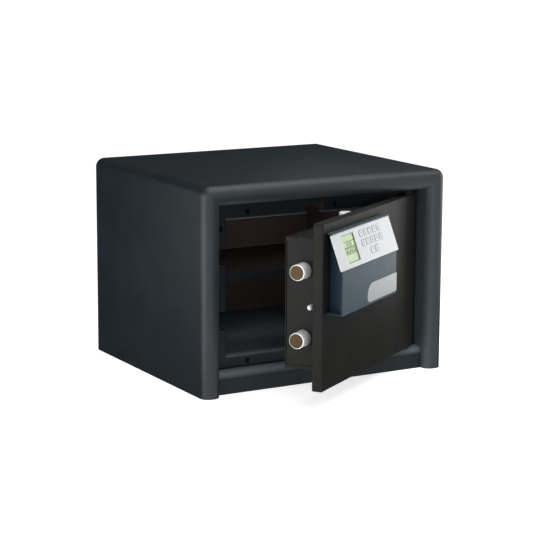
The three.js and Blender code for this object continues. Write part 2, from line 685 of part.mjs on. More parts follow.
function linerPockets(grow) {
  const y0 = RING_BACK_Y;
  const y1 = BOLT_Y + SIDE_BOLT_RADIUS + BOLT_POCKET_CLEARANCE + grow;
  const reach = SIDE_BOLT_RADIUS + BOLT_POCKET_CLEARANCE + grow;
  const side = [SIDE_BOLT_UPPER_Z, SIDE_BOLT_LOWER_Z].map((z) =>
    block(SIDE_POCKET_X - grow, -INTERIOR_HALF + OVERCUT, y0, y1, z - reach, z + reach),
  );
  const x0 = TOP_NOTCH_X0 - BOLT_NOTCH_CLEARANCE - grow;
  const x1 = TOP_NOTCH_X1 + BOLT_NOTCH_CLEARANCE + grow;
  return joined([...side, block(x0, x1, y0, y1, INTERIOR_TOP - OVERCUT, TOP_POCKET_Z + grow)]);
}

function linerBox(grow) {
  return block(
    -INTERIOR_HALF - grow,
    INTERIOR_HALF + grow,
    RING_BACK_Y,
    INTERIOR_BACK + grow,
    INTERIOR_FLOOR - grow,
    INTERIOR_TOP + grow,
  );
}

function linerFlange(grow) {
  return block(
    -INTERIOR_HALF - LINER_FLANGE - grow,
    INTERIOR_HALF + LINER_FLANGE + grow,
    RING_BACK_Y,
    RING_BACK_Y + LINER_SHEET + grow,
    INTERIOR_FLOOR - LINER_FLANGE - grow,
    INTERIOR_TOP + LINER_FLANGE + grow,
  );
}

function linerOutside(grow) {
  return joined([linerBox(LINER_SHEET + grow), linerPockets(LINER_SHEET + grow), linerFlange(grow)]);
}

function innerLiner() {
  const flangePlate = block(
    -CABINET_WIDTH,
    CABINET_WIDTH,
    RING_BACK_Y,
    RING_BACK_Y + LINER_SHEET,
    0,
    CABINET_HEIGHT,
  );
  const pocketSpace = linerPockets(0).subtract(flangePlate);
  return cut(linerOutside(0), [
    linerBox(0),
    pocketSpace,
    ...boltNotches(RING_Y, RING_BACK_Y + LINER_SHEET + OVERCUT),
    ...screwHoles(),
    ...anchorHoles(0, INTERIOR_FLOOR + OVERCUT),
  ]);
}

function insulationFill() {
  const gap = SHELL_SHEET + FILL_GAP;
  const rear = BACK_Y - SHELL_SHEET - BACK_PANEL_SHEET - FILL_GAP;
  const y0 = RING_BACK_Y + FILL_GAP;
  return cut(wallBody(gap, y0), [
    behind(rear),
    block(-CABINET_WIDTH, CABINET_WIDTH, 2 * FRONT_Y, 2 * BACK_Y, -CABINET_HEIGHT, BASE_SHEET + FILL_GAP),
    linerOutside(FILL_GAP),
    ...screwHoles(),
    ...anchorHoles(0, INTERIOR_FLOOR),
  ]);
}

function anchorPlug(side) {
  const profile = [
    new THREE.Vector2(0, -ANCHOR_PLUG_LENGTH),
    new THREE.Vector2(ANCHOR_HOLE_RADIUS - FIT, -ANCHOR_PLUG_LENGTH),
    new THREE.Vector2(ANCHOR_HOLE_RADIUS - FIT, 0),
    new THREE.Vector2(ANCHOR_PLUG_RADIUS, 0),
    new THREE.Vector2(ANCHOR_PLUG_RADIUS, ANCHOR_PLUG_HEAD - ANCHOR_PLUG_CHAMFER),
    new THREE.Vector2(ANCHOR_PLUG_RADIUS - ANCHOR_PLUG_CHAMFER, ANCHOR_PLUG_HEAD),
    new THREE.Vector2(0, ANCHOR_PLUG_HEAD),
  ];
  const geometry = new THREE.LatheGeometry(profile, SMALL_CIRCLE_SEGMENTS);
  geometry.rotateX(Math.PI / 2);
  return solid(geometry.translate((side * ANCHOR_SPACING) / 2, ANCHOR_Y, INTERIOR_FLOOR));
}

function shelf() {
  const half = INTERIOR_HALF - SHELF_SIDE_GAP;
  const y1 = INTERIOR_BACK - SHELF_BACK_GAP;
  const z0 = SHELF_TOP - SHELF_SHEET;
  const top = block(-half, half, SHELF_FRONT_Y, y1, z0, SHELF_TOP);
  const front = block(
    -half,
    half,
    SHELF_FRONT_Y,
    SHELF_FRONT_Y + SHELF_SHEET,
    SHELF_TOP - SHELF_FRONT_FLANGE,
    SHELF_TOP,
  );
  return top.add(front);
}

function shelfRail(side) {
  const z1 = SHELF_TOP - SHELF_SHEET;
  const wall = side * INTERIOR_HALF;
  const edges = (reach) => [Math.min(wall, wall - side * reach), Math.max(wall, wall - side * reach)];
  const y0 = SHELF_FRONT_Y + SHELF_SHEET + RAIL_INSET;
  const y1 = INTERIOR_BACK - SHELF_BACK_GAP - RAIL_INSET;
  const upright = block(...edges(RAIL_SHEET), y0, y1, z1 - RAIL_LEG, z1);
  const ledge = block(...edges(RAIL_LEG), y0, y1, z1 - RAIL_SHEET, z1);
  return upright.add(ledge);
}

// Hinge pins stand in the border above and in the sill below

function hingePinTop() {
  const z0 = DOOR_TOP - HINGE_PIN_ENGAGEMENT;
  const z1 = OPENING_TOP + HINGE_PIN_ANCHOR;
  return rodAlongZ(HINGE_PIN_RADIUS, z0, z1, HINGE_X, HINGE_Y, SMALL_CIRCLE_SEGMENTS);
}

function hingePinBottom() {
  const z0 = SILL_HEIGHT - HINGE_PIN_ANCHOR;
  const z1 = DOOR_BOTTOM + HINGE_PIN_ENGAGEMENT;
  return rodAlongZ(HINGE_PIN_RADIUS, z0, z1, HINGE_X, HINGE_Y, SMALL_CIRCLE_SEGMENTS);
}

const BUSH_OUTER_RADIUS = HINGE_PIN_RADIUS + FIT + HINGE_BUSH_WALL;

function hingeBush(z0, z1) {
  const outer = rodAlongZ(BUSH_OUTER_RADIUS, z0, z1, HINGE_X, HINGE_Y, SMALL_CIRCLE_SEGMENTS);
  return outer.subtract(pinHole(z0 - OVERCUT, z1 + OVERCUT));
}

// Door: every piece below is drawn with the door shut, and the whole door is swung open at the end

function bushHole(z0, z1) {
  return rodAlongZ(BUSH_OUTER_RADIUS + FIT, z0, z1, HINGE_X, HINGE_Y, SMALL_CIRCLE_SEGMENTS);
}

function bushHoles() {
  const depth = HINGE_BUSH_LENGTH + FIT;
  return [bushHole(DOOR_TOP - depth, DOOR_TOP + OVERCUT), bushHole(DOOR_BOTTOM - OVERCUT, DOOR_BOTTOM + depth)];
}

function cableHole(y0, y1) {
  return rodAlongY(CABLE_HOLE_RADIUS, y0, y1, CABLE_HOLE_X, CABLE_HOLE_Z, SMALL_CIRCLE_SEGMENTS);
}

function doorPlate() {
  const edge = DOOR_EDGE_RADIUS;
  const outline = rectangle(-DOOR_HALF + edge, DOOR_HALF - edge, DOOR_BOTTOM + edge, DOOR_TOP - edge);
  const rear = DOOR_BACK_Y + DOOR_THICKNESS;
  return cut(extrudeAlongY(outline, DOOR_FRONT_Y, rear, edge), [
    block(-CABINET_WIDTH, CABINET_WIDTH, DOOR_BACK_Y, BACK_Y, 0, CABINET_HEIGHT),
    block(
      -DOOR_HALF + DOOR_SKIN,
      DOOR_HALF - DOOR_SKIN,
      DOOR_FRONT_Y + DOOR_SKIN,
      BACK_Y,
      DOOR_BOTTOM + DOOR_SKIN,
      DOOR_TOP - DOOR_SKIN,
    ),
    ...bushHoles(),
    cableHole(DOOR_FRONT_Y - OVERCUT, DOOR_BACK_Y),
  ]);
}

function doorSlab(y0, y1) {
  const margin = DOOR_SKIN + FIT;
  const slab = block(
    -DOOR_HALF + margin,
    DOOR_HALF - margin,
    y0,
    y1,
    DOOR_BOTTOM + margin,
    DOOR_TOP - margin,
  );
  return cut(slab, [...bushHoles(), cableHole(DOOR_FRONT_Y, DOOR_BACK_Y + OVERCUT)]);
}

function doorFilling() {
  return doorSlab(DOOR_FRONT_Y + DOOR_SKIN + FIT, DOOR_BACK_Y - DOOR_BACK_SHEET - FIT);
}

function doorBackPlate() {
  return doorSlab(DOOR_BACK_Y - DOOR_BACK_SHEET, DOOR_BACK_Y);
}

// Lock case: a floor and two end walls, closed by a folded cover

function lockCase() {
  const z0 = CASE_BOTTOM + COVER_SHEET + FIT;
  const z1 = CASE_TOP - COVER_SHEET - FIT;
  const yEnd = CASE_BACK_Y - COVER_SHEET - FIT;
  const xFar = CASE_HINGE_X - COVER_SHEET - FIT;
  const walls = [
    block(CASE_WALL_X, xFar, CASE_FRONT_Y, CASE_FLOOR_Y, z0, z1),
    block(CASE_WALL_X, CASE_INNER_X, CASE_FRONT_Y, yEnd, z0, z1),
    block(xFar - CASE_SHEET, xFar, CASE_FRONT_Y, yEnd, z0, z1),
  ];
  const holes = [SIDE_BOLT_UPPER_Z, SIDE_BOLT_LOWER_Z].map((z) =>
    rodAlongX(SIDE_BOLT_RADIUS + 2 * FIT, CASE_WALL_X - OVERCUT, CASE_INNER_X + OVERCUT, BOLT_Y, z),
  );
  const plungerHole = rodAlongX(
    PLUNGER_RADIUS + 2 * FIT,
    CASE_WALL_X - OVERCUT,
    CASE_INNER_X + OVERCUT,
    PLUNGER_Y,
    PLUNGER_Z,
    SMALL_CIRCLE_SEGMENTS,
  );
  return cut(joined(walls), [...holes, plungerHole, cableHole(CASE_FRONT_Y - OVERCUT, CASE_FLOOR_Y + OVERCUT)]);
}

function lockCaseCover() {
  const outer = block(CASE_CLOSING_X, CASE_HINGE_X, CASE_FRONT_Y, CASE_BACK_Y, CASE_BOTTOM, CASE_TOP);
  const inner = block(
    CASE_CLOSING_X + COVER_SHEET,
    CASE_HINGE_X - COVER_SHEET,
    CASE_FRONT_Y - OVERCUT,
    CASE_BACK_Y - COVER_SHEET,
    CASE_BOTTOM + COVER_SHEET,
    CASE_TOP - COVER_SHEET,
  );
  const endOpenings = block(
    CASE_CLOSING_X - OVERCUT,
    CASE_HINGE_X + OVERCUT,
    CASE_FRONT_Y - OVERCUT,
    CASE_BACK_Y - COVER_SHEET,
    CASE_BOTTOM + COVER_LIP,
    CASE_TOP - COVER_LIP,
  );
  const holeRadius = TOP_BOLT_RADIUS + 2 * FIT;
  const boltHole = rodAlongZ(holeRadius, CASE_TOP - COVER_LIP, CASE_TOP + OVERCUT, TOP_BOLT_X, BOLT_Y);
  return cut(outer, [inner, endOpenings, boltHole]);
}

function boltGuide(z) {
  const reach = SIDE_BOLT_RADIUS + BOLT_GUIDE_WALL;
  const x0 = CASE_INNER_X + FIT;
  const body = block(x0, x0 + BOLT_GUIDE_LENGTH, CASE_FLOOR_Y + FIT, BOLT_Y + reach, z - reach, z + reach);
  const bore = SIDE_BOLT_RADIUS + BOLT_GUIDE_CLEARANCE;
  return body.subtract(rodAlongX(bore, x0 - OVERCUT, x0 + BOLT_GUIDE_LENGTH + OVERCUT, BOLT_Y, z));
}

function topBoltGuide() {
  const reach = TOP_BOLT_RADIUS + BOLT_GUIDE_WALL;
  const z1 = CASE_TOP - COVER_SHEET - FIT;
  const z0 = z1 - TOP_BOLT_GUIDE_LENGTH;
  const x0 = TOP_BOLT_X - reach;
  const body = block(x0, x0 + 2 * reach, CASE_FLOOR_Y + FIT, BOLT_Y + reach, z0, z1);
  const bore = TOP_BOLT_RADIUS + BOLT_GUIDE_CLEARANCE;
  return body.subtract(rodAlongZ(bore, z0 - OVERCUT, z1 + OVERCUT, TOP_BOLT_X, BOLT_Y));
}

// Bolt work

function sideBolt(z) {
  const length = SIDE_BOLT_END_X - SIDE_BOLT_TIP_X;
  const geometry = chamferedRod(SIDE_BOLT_RADIUS, length, BOLT_CHAMFER);
  geometry.rotateZ(Math.PI / 2);
  return solid(geometry.translate(SIDE_BOLT_END_X, BOLT_Y, z));
}

const RACK_PITCH = Math.PI * GEAR_MODULE;

// Rack outline as [along, rise] pairs: the teeth rise from the root line, and tooth 0 is centred at along = 0
function rackPoints(start, end, backing, firstTooth, count) {
  const rise = TOOTH_ADDENDUM + TOOTH_DEDENDUM;
  const points = [
    [start, -backing],
    [end, -backing],
    [end, 0],
  ];
  for (let index = count - 1; index >= 0; index -= 1) {
    const centre = (firstTooth + index) * RACK_PITCH;
    points.push([centre + TOOTH_ROOT_WIDTH / 2, 0]);
    points.push([centre + TOOTH_TIP_WIDTH / 2, rise]);
    points.push([centre - TOOTH_TIP_WIDTH / 2, rise]);
    points.push([centre - TOOTH_ROOT_WIDTH / 2, 0]);
  }
  points.push([start, 0]);
  return points;
}

function boltBar() {
  const x0 = SIDE_BOLT_END_X + FIT;
  const x1 = x0 + BAR_THICKNESS;
  const bar = block(
    x0,
    x1,
    BOLT_Y - SIDE_BOLT_RADIUS,
    BOLT_Y + SIDE_BOLT_RADIUS,
    SIDE_BOLT_LOWER_Z - BAR_END_MARGIN,
    SIDE_BOLT_UPPER_Z + BAR_END_MARGIN,
  );
  const rootZ = GEAR_Z + GEAR_RADIUS + TOOTH_DEDENDUM;
  const firstTooth = -1;
  const armEnd = (firstTooth + RACK_TEETH - 0.5) * RACK_PITCH;
  const points = rackPoints(x1 - JOIN_OVERLAP - GEAR_X, armEnd, RACK_BACKING, firstTooth, RACK_TEETH);
  const arm = polygon(points.map(([along, rise]) => [GEAR_X + along, rootZ - rise]));
  return bar.add(extrudeAlongY(arm, ARM_Y, ARM_Y + RACK_LAYER));
}

function topBolt() {
  const geometry = chamferedRod(TOP_BOLT_RADIUS, TOP_BOLT_TIP_Z - TOP_BOLT_END_Z, BOLT_CHAMFER);
  geometry.rotateX(Math.PI / 2);
  const bolt = solid(geometry.translate(TOP_BOLT_X, BOLT_Y, TOP_BOLT_END_Z));
  const rootX = GEAR_X + GEAR_RADIUS + TOOTH_DEDENDUM;
  const stemTop = TOP_BOLT_END_Z + JOIN_OVERLAP - GEAR_Z;
  const firstTooth = 2 - RACK_TEETH;
  const stemStart = (firstTooth - 0.5) * RACK_PITCH;
  const points = rackPoints(stemStart, stemTop, STEM_WIDTH, firstTooth, RACK_TEETH);
  const stem = polygon(points.map(([along, rise]) => [rootX - rise, GEAR_Z + along]));
  return bolt.add(extrudeAlongY(stem, STEM_Y, STEM_Y + RACK_LAYER));
}

// Spur gear with straight-sided teeth; the phase says where tooth 0 points, as an angle from +X
function spurGear(teeth, phase, x, z, y0, y1, boreRadius) {
  const pitchRadius = (GEAR_MODULE * teeth) / 2;
  const root = pitchRadius - TOOTH_DEDENDUM;
  const tip = pitchRadius + TOOTH_ADDENDUM;
  const points = [];
  for (let index = 0; index < teeth; index += 1) {
    const angle = phase + (index * 2 * Math.PI) / teeth;
    const flank = [
      [root, -TOOTH_ROOT_WIDTH / 2],
      [tip, -TOOTH_TIP_WIDTH / 2],
      [tip, TOOTH_TIP_WIDTH / 2],
      [root, TOOTH_ROOT_WIDTH / 2],
    ];
    flank.forEach(([radius, side]) => {
      const u = radius * Math.cos(angle) - side * Math.sin(angle);
      const v = radius * Math.sin(angle) + side * Math.cos(angle);
      points.push([x + u, z + v]);
    });
  }
  const body = extrudeAlongY(polygon(points), y0, y1);
  return body.subtract(rodAlongY(boreRadius, y0 - OVERCUT, y1 + OVERCUT, x, z, SMALL_CIRCLE_SEGMENTS));
}

// A gap of the gear faces each rack, and the pinion points a tooth into the gap below
function driveGear() {
  const phase = Math.PI / GEAR_TEETH;
  const bore = SPINDLE_RADIUS + SHAFT_CLEARANCE;
  return spurGear(GEAR_TEETH, phase, GEAR_X, GEAR_Z, GEAR_FRONT_Y, GEAR_BACK_Y, bore);
}

function motorPinion() {
  const bore = MOTOR_SHAFT_RADIUS + SHAFT_CLEARANCE;
  return spurGear(PINION_TEETH, Math.PI / 2, GEAR_X, PINION_Z, GEAR_FRONT_Y, GEAR_BACK_Y, bore);
}

function gearSpindle() {
  const y1 = GEAR_BACK_Y + SHAFT_END;
  return rodAlongY(SPINDLE_RADIUS, CASE_FLOOR_Y + FIT, y1, GEAR_X, GEAR_Z, SMALL_CIRCLE_SEGMENTS);
}

function gearMotor() {
  const motorEnd = GEAR_FRONT_Y - MOTOR_GAP;
  const body = rodAlongY(MOTOR_RADIUS, CASE_FLOOR_Y + FIT, motorEnd, GEAR_X, PINION_Z);
  const shaftStart = motorEnd - JOIN_OVERLAP;
  const shaftEnd = GEAR_BACK_Y + SHAFT_END;
  return body.add(rodAlongY(MOTOR_SHAFT_RADIUS, shaftStart, shaftEnd, GEAR_X, PINION_Z, SMALL_CIRCLE_SEGMENTS));
}

// Door contact plunger: a domed pin that the frame lip faces when the door is shut

const PLUNGER_END_X = CASE_CLOSING_X + PLUNGER_INNER_LENGTH;

function contactPlunger() {
  const tipX = CASE_CLOSING_X - PLUNGER_PROTRUSION;
  const domeStart = tipX + PLUNGER_RADIUS;
  const profile = [new THREE.Vector2(0, 0), new THREE.Vector2(PLUNGER_RADIUS, 0)];
  for (let step = 0; step < BEVEL_SEGMENTS; step += 1) {
    const angle = (step * Math.PI) / 2 / BEVEL_SEGMENTS;
    const rise = PLUNGER_END_X - domeStart + PLUNGER_RADIUS * Math.sin(angle);
    profile.push(new THREE.Vector2(PLUNGER_RADIUS * Math.cos(angle), rise));
  }
  profile.push(new THREE.Vector2(0, PLUNGER_END_X - tipX));
  const geometry = new THREE.LatheGeometry(profile, SMALL_CIRCLE_SEGMENTS);
  geometry.rotateZ(Math.PI / 2);
  return solid(geometry.translate(PLUNGER_END_X, PLUNGER_Y, PLUNGER_Z));
}

function contactGuide() {
  const x0 = CASE_INNER_X + FIT;
  const x1 = x0 + PLUNGER_GUIDE_LENGTH;
  const reach = PLUNGER_RADIUS + PLUNGER_GUIDE_WALL;
  const body = block(x0, x1, CASE_FLOOR_Y + FIT, PLUNGER_Y + reach, PLUNGER_Z - reach, PLUNGER_Z + reach);
  const bore = PLUNGER_RADIUS + BOLT_GUIDE_CLEARANCE;
  const boreEnd = x1 - PLUNGER_GUIDE_END;
  return body.subtract(rodAlongX(bore, x0 - OVERCUT, boreEnd, PLUNGER_Y, PLUNGER_Z, SMALL_CIRCLE_SEGMENTS));
}

// Console frame of the sloping keypad panel: X as in the door, Y down the slope, Z inward from its outer face

const CONSOLE_MATRIX = new THREE.Matrix4()
  .makeTranslation(0, PANEL_TOP_Y, PANEL_TOP_Z)
  .multiply(new THREE.Matrix4().makeRotationX(PANEL_TILT));

// Outline in the console's (x, slope) plane, extruded inward from one depth to another
function consoleGeometry(shape, depth0, depth1) {
  return extrude(shape, depth1 - depth0, 0, KEY_ARC_SEGMENTS).translate(0, 0, depth0);
}

function consoleSolid(shape, depth0, depth1) {
  return solid(consoleGeometry(shape, depth0, depth1));
}

function consoleToDoor(shape, depth0, depth1) {
  return solid(consoleGeometry(shape, depth0, depth1).applyMatrix4(CONSOLE_MATRIX));
}

function displayOutline(grow) {
  const half = DISPLAY_WIDTH / 2 + grow;
  return rectangle(
    DISPLAY_CENTRE_X - half,
    DISPLAY_CENTRE_X + half,
    DISPLAY_START - grow,
    DISPLAY_START + DISPLAY_HEIGHT + grow,
  );
}

function keyOutline(key, grow) {
  const halfWidth = KEY_WIDTH / 2 + grow;
  const halfHeight = KEY_HEIGHT / 2 + grow;
  return rectangle(
    key.x - halfWidth,
    key.x + halfWidth,
    key.slope - halfHeight,
    key.slope + halfHeight,
    KEY_CORNER_RADIUS + grow,
  );
}

function keyPlaces() {
  const places = [];
  KEY_ROW_COUNTS.forEach((count, row) => {
    for (let column = 0; column < count; column += 1) {
      places.push({
        name: `key_${row + 1}_${column + 1}`,
        x: KEYS_CENTRE_X + (column - (count - 1) / 2) * KEY_PITCH,
        slope: KEY_ROW_STARTS[row],
      });
    }
  });
  return places;
}

const KEYS = keyPlaces();

function keypadPanel() {
  const outline = rectangle(
    HOUSING_LEFT_X - PANEL_OVERHANG,
    HOUSING_RIGHT_X + PANEL_OVERHANG,
    0,
    PANEL_LENGTH,
    PANEL_CORNER_RADIUS,
  );
  outline.holes.push(displayOutline(0));
  KEYS.forEach((key) => outline.holes.push(keyOutline(key, FIT)));
  return consoleSolid(outline, 0, PANEL_THICKNESS);
}

function keyCap(key) {
  const cap = consoleSolid(keyOutline(key, 0), -KEY_PROUD, PANEL_THICKNESS + FIT + KEY_FLANGE_THICKNESS);
  const flangeStart = PANEL_THICKNESS + FIT;
  const flange = consoleSolid(keyOutline(key, KEY_FLANGE), flangeStart, flangeStart + KEY_FLANGE_THICKNESS);
  const half = KEY_STEM_WIDTH / 2;
  const stemOutline = rectangle(key.x - half, key.x + half, key.slope - half, key.slope + half);
  return joined([cap, flange, consoleSolid(stemOutline, flangeStart, KEY_STEM_DEPTH)]);
}

function displayModule() {
  return consoleSolid(displayOutline(DISPLAY_MARGIN), PANEL_THICKNESS + FIT, BOARD_DEPTH - FIT);
}

function circuitBoard() {
  const x0 = HOUSING_LEFT_X + GRIP_RECESS + BOARD_MARGIN / 2;
  const x1 = HOUSING_RIGHT_X - BOARD_MARGIN;
  const outline = rectangle(x0, x1, BOARD_MARGIN, PANEL_LENGTH - BOARD_MARGIN / 2);
  return consoleSolid(outline, BOARD_DEPTH, BOARD_DEPTH + BOARD_THICKNESS);
}

// Lock housing: a hollow core beside a grip recess, with a face, a floor and a cap that run past the recess

const HOUSING_CORE_X = HOUSING_LEFT_X + GRIP_RECESS;
const HOUSING_FACE_BACK_Y = HOUSING_FRONT_Y + HOUSING_FRONT_SHEET;
const HOUSING_HOLLOW_TOP = HOUSING_TOP - HOUSING_CAP_SHEET;
const PANEL_SEAT = PANEL_THICKNESS + FIT;

// Point (y, z) in the door at a distance down the panel's slope and a depth below its outer face
function slopePoint(distance, depth) {
  return [
    PANEL_TOP_Y + distance * Math.cos(PANEL_TILT) - depth * Math.sin(PANEL_TILT),
    PANEL_TOP_Z + distance * Math.sin(PANEL_TILT) + depth * Math.cos(PANEL_TILT),
  ];
}

const PANEL_FOOT = slopePoint(PANEL_LENGTH - JOIN_OVERLAP, PANEL_SEAT);

function housingCore() {
  const head = slopePoint(0, PANEL_SEAT);
  const outline = polygon([
    [HOUSING_BACK_Y, HOUSING_BOTTOM],
    [HOUSING_FACE_BACK_Y, HOUSING_BOTTOM],
    [HOUSING_FACE_BACK_Y, PANEL_FOOT[1]],
    PANEL_FOOT,
    head,
    [head[0], HOUSING_TOP],
    [HOUSING_BACK_Y, HOUSING_TOP],
  ]);
  return extrudeAlongX(outline, HOUSING_CORE_X, HOUSING_RIGHT_X);
}

function housingCap() {
  const x0 = HOUSING_LEFT_X - PANEL_OVERHANG;
  const x1 = HOUSING_RIGHT_X + PANEL_OVERHANG;
  const y0 = PANEL_TOP_Y - JOIN_OVERLAP;
  const outline = polygon([
    [x0, y0],
    [x1, y0],
    [x1, HOUSING_BACK_Y - CAP_CHAMFER],
    [x1 - CAP_CHAMFER, HOUSING_BACK_Y],
    [x0 + CAP_CHAMFER, HOUSING_BACK_Y],
    [x0, HOUSING_BACK_Y - CAP_CHAMFER],
  ]);
  return solid(extrude(outline, HOUSING_CAP_SHEET).translate(0, 0, HOUSING_HOLLOW_TOP));
}

// Space under the panel for the display, the keys and the board
function panelOpening() {
  const outline = rectangle(
    HOUSING_CORE_X + HOUSING_WALL,
    HOUSING_RIGHT_X - HOUSING_WALL,
    PANEL_RIM,
    PANEL_LENGTH - PANEL_RIM,
  );
  const room = block(
    HOUSING_CORE_X,
    HOUSING_RIGHT_X,
    HOUSING_FRONT_Y - HOUSING_DEPTH,
    HOUSING_BACK_Y + OVERCUT,
    PANEL_FOOT[1],
    HOUSING_HOLLOW_TOP,
  );
  return consoleToDoor(outline, 0, HOUSING_DEPTH).intersect(room);
}

// Hollow that is open to the door plate and stops short of the sloping wall under the panel
function housingHollow() {
  const hollow = block(
    HOUSING_CORE_X + HOUSING_WALL,
    HOUSING_RIGHT_X - HOUSING_WALL,
    HOUSING_FACE_BACK_Y,
    HOUSING_BACK_Y + OVERCUT,
    HOUSING_BOTTOM + HOUSING_FLOOR_SHEET,
    HOUSING_HOLLOW_TOP,
  );
  const slopeWall = rectangle(HOUSING_LEFT_X, HOUSING_RIGHT_X, -HOUSING_DEPTH, PANEL_LENGTH + HOUSING_DEPTH);
  return hollow.subtract(consoleToDoor(slopeWall, -HOUSING_DEPTH, PANEL_SEAT + HOUSING_WALL));
}

// Outline of the battery cover, with a large corner above a small one and a straight end at xEnd
function coverOutline(grow, xEnd) {
  const x0 = COVER_LEFT_X - grow;
  const z0 = COVER_BOTTOM_Z - grow;
  const z1 = COVER_TOP_Z + grow;
  const large = BATTERY_COVER_LARGE_RADIUS + grow;
  const small = BATTERY_COVER_SMALL_RADIUS + grow;
  const path = new THREE.Shape();
  path.moveTo(x0 + small, z0);
  path.lineTo(xEnd, z0);
  path.lineTo(xEnd, z1);
  path.absarc(x0 + large, z1 - large, large, Math.PI / 2, Math.PI, false);
  path.absarc(x0 + small, z0 + small, small, Math.PI, 1.5 * Math.PI, false);
  path.closePath();
  return path;
}

function batteryBay(grow, y0, y1) {
  return block(
    COVER_LEFT_X + BATTERY_BAY_END_MARGIN - grow,
    COVER_RIGHT_X - BATTERY_BAY_END_MARGIN + grow,
    y0,
    y1,
    COVER_BOTTOM_Z + BATTERY_BAY_MARGIN - grow,
    COVER_TOP_Z - BATTERY_BAY_MARGIN + grow,
  );
}

function lockHousing() {
  const x0 = HOUSING_LEFT_X;
  const x1 = HOUSING_RIGHT_X;
  const floorTop = HOUSING_BOTTOM + HOUSING_FLOOR_SHEET;
  const faceTop = PANEL_FOOT[1] - FACE_TOP_GAP;
  const face = block(x0, x1, HOUSING_FRONT_Y, HOUSING_FACE_BACK_Y, HOUSING_BOTTOM, faceTop);
  const floor = block(x0, x1, HOUSING_FRONT_Y, HOUSING_BACK_Y, HOUSING_BOTTOM, floorTop);
  const shell = joined([housingCore(), face, floor, housingCap()]);
  const hollowed = cut(shell, [housingHollow(), panelOpening()]);
  const bayFront = HOUSING_FACE_BACK_Y - JOIN_OVERLAP;
  const bayShell = batteryBay(BATTERY_BAY_WALL, bayFront, BAY_FLOOR_Y + BATTERY_BAY_WALL);
  const recessFront = HOUSING_FRONT_Y - OVERCUT;
  const recessOutline = coverOutline(FIT, COVER_RIGHT_X + OVERCUT);
  const recess = extrudeAlongY(recessOutline, recessFront, HOUSING_FRONT_Y + BATTERY_RECESS);
  return cut(hollowed.add(bayShell), [recess, batteryBay(0, recessFront, BAY_FLOOR_Y)]);
}

function batteryCover() {
  const y0 = HOUSING_FRONT_Y - BATTERY_COVER_PROUD;
  const y1 = HOUSING_FRONT_Y + BATTERY_RECESS - FIT;
  const plate = extrudeAlongY(coverOutline(0, COVER_RIGHT_X), y0, y1);
  const tabX = COVER_LEFT_X + BATTERY_BAY_END_MARGIN + FIT;
  const tabReach = COVER_TAB_HEIGHT / 2;
  const centreZ = COVER_BOTTOM_Z + BATTERY_COVER_HEIGHT / 2;
  const tab = block(
    tabX,
    tabX + COVER_TAB_WIDTH,
    y1 - JOIN_OVERLAP,
    y1 + COVER_TAB_DEPTH,
    centreZ - tabReach,
    centreZ + tabReach,
  );
  return plate.add(tab);
}

function batteryPlaces() {
  const centreX = (COVER_LEFT_X + COVER_RIGHT_X) / 2;
  const centreZ = COVER_BOTTOM_Z + BATTERY_COVER_HEIGHT / 2;
  const places = [];
  for (const column of [-1, 1]) {
    for (const row of [-1, 1]) {
      places.push({
        name: `battery_${places.length + 1}`,
        x: centreX + (column * (BATTERY_LENGTH + BATTERY_NUB_LENGTH + 2 * FIT)) / 2,
        z: centreZ + row * (BATTERY_RADIUS + FIT),
      });
    }
  }
  return places;
}

function battery(place) {
  const profile = [
    new THREE.Vector2(0, 0),
    new THREE.Vector2(BATTERY_RADIUS, 0),
    new THREE.Vector2(BATTERY_RADIUS, BATTERY_LENGTH),
    new THREE.Vector2(BATTERY_NUB_RADIUS, BATTERY_LENGTH),
    new THREE.Vector2(BATTERY_NUB_RADIUS, BATTERY_LENGTH + BATTERY_NUB_LENGTH),
    new THREE.Vector2(0, BATTERY_LENGTH + BATTERY_NUB_LENGTH),
  ];
  const geometry = new THREE.LatheGeometry(profile, SMALL_CIRCLE_SEGMENTS);
  geometry.rotateZ(-Math.PI / 2);
  const y = BAY_FLOOR_Y - FIT - BATTERY_RADIUS;
  return solid(geometry.translate(place.x - (BATTERY_LENGTH + BATTERY_NUB_LENGTH) / 2, y, place.z));
}

// Assembly

function cabinetGroup() {
  const group = new THREE.Group();
  group.add(
    piece("outer_shell", outerShell(), "shellPaint"),
    piece("back_panel", backPanel(), "shellPaint"),
    piece("base_panel", basePanel(), "shellPaint"),
    piece("front_sill", frontSill(), "shellPaint"),
    piece("inner_liner", innerLiner(), "linerPaint"),
    piece("insulation_fill", insulationFill(), "fill"),
    piece("frame_ring", frameRing(), "shellPaint"),
    piece("shelf", shelf(), "linerPaint"),
    piece("shelf_rail_left", shelfRail(-1), "linerPaint"),
    piece("shelf_rail_right", shelfRail(1), "linerPaint"),
    piece("hinge_pin_top", hingePinTop(), "zincSteel"),
    piece("hinge_pin_bottom", hingePinBottom(), "zincSteel"),
    piece("anchor_plug_left", anchorPlug(-1), "plugPlastic"),
    piece("anchor_plug_right", anchorPlug(1), "plugPlastic"),
  );
  SCREW_PLACES.forEach((place) => group.add(piece(place.name, frameScrew(place), "darkScrew")));
  return group;
}

function consoleGroup() {
  const group = new THREE.Group();
  group.position.set(0, PANEL_TOP_Y, PANEL_TOP_Z);
  group.rotation.x = PANEL_TILT;
  group.add(
    piece("keypad_panel", keypadPanel(), "silverPlastic"),
    piece("display_module", displayModule(), "displayGlass"),
    piece("circuit_board", circuitBoard(), "board"),
  );
  KEYS.forEach((key) => group.add(piece(key.name, keyCap(key), "silverPlastic")));
  return group;
}

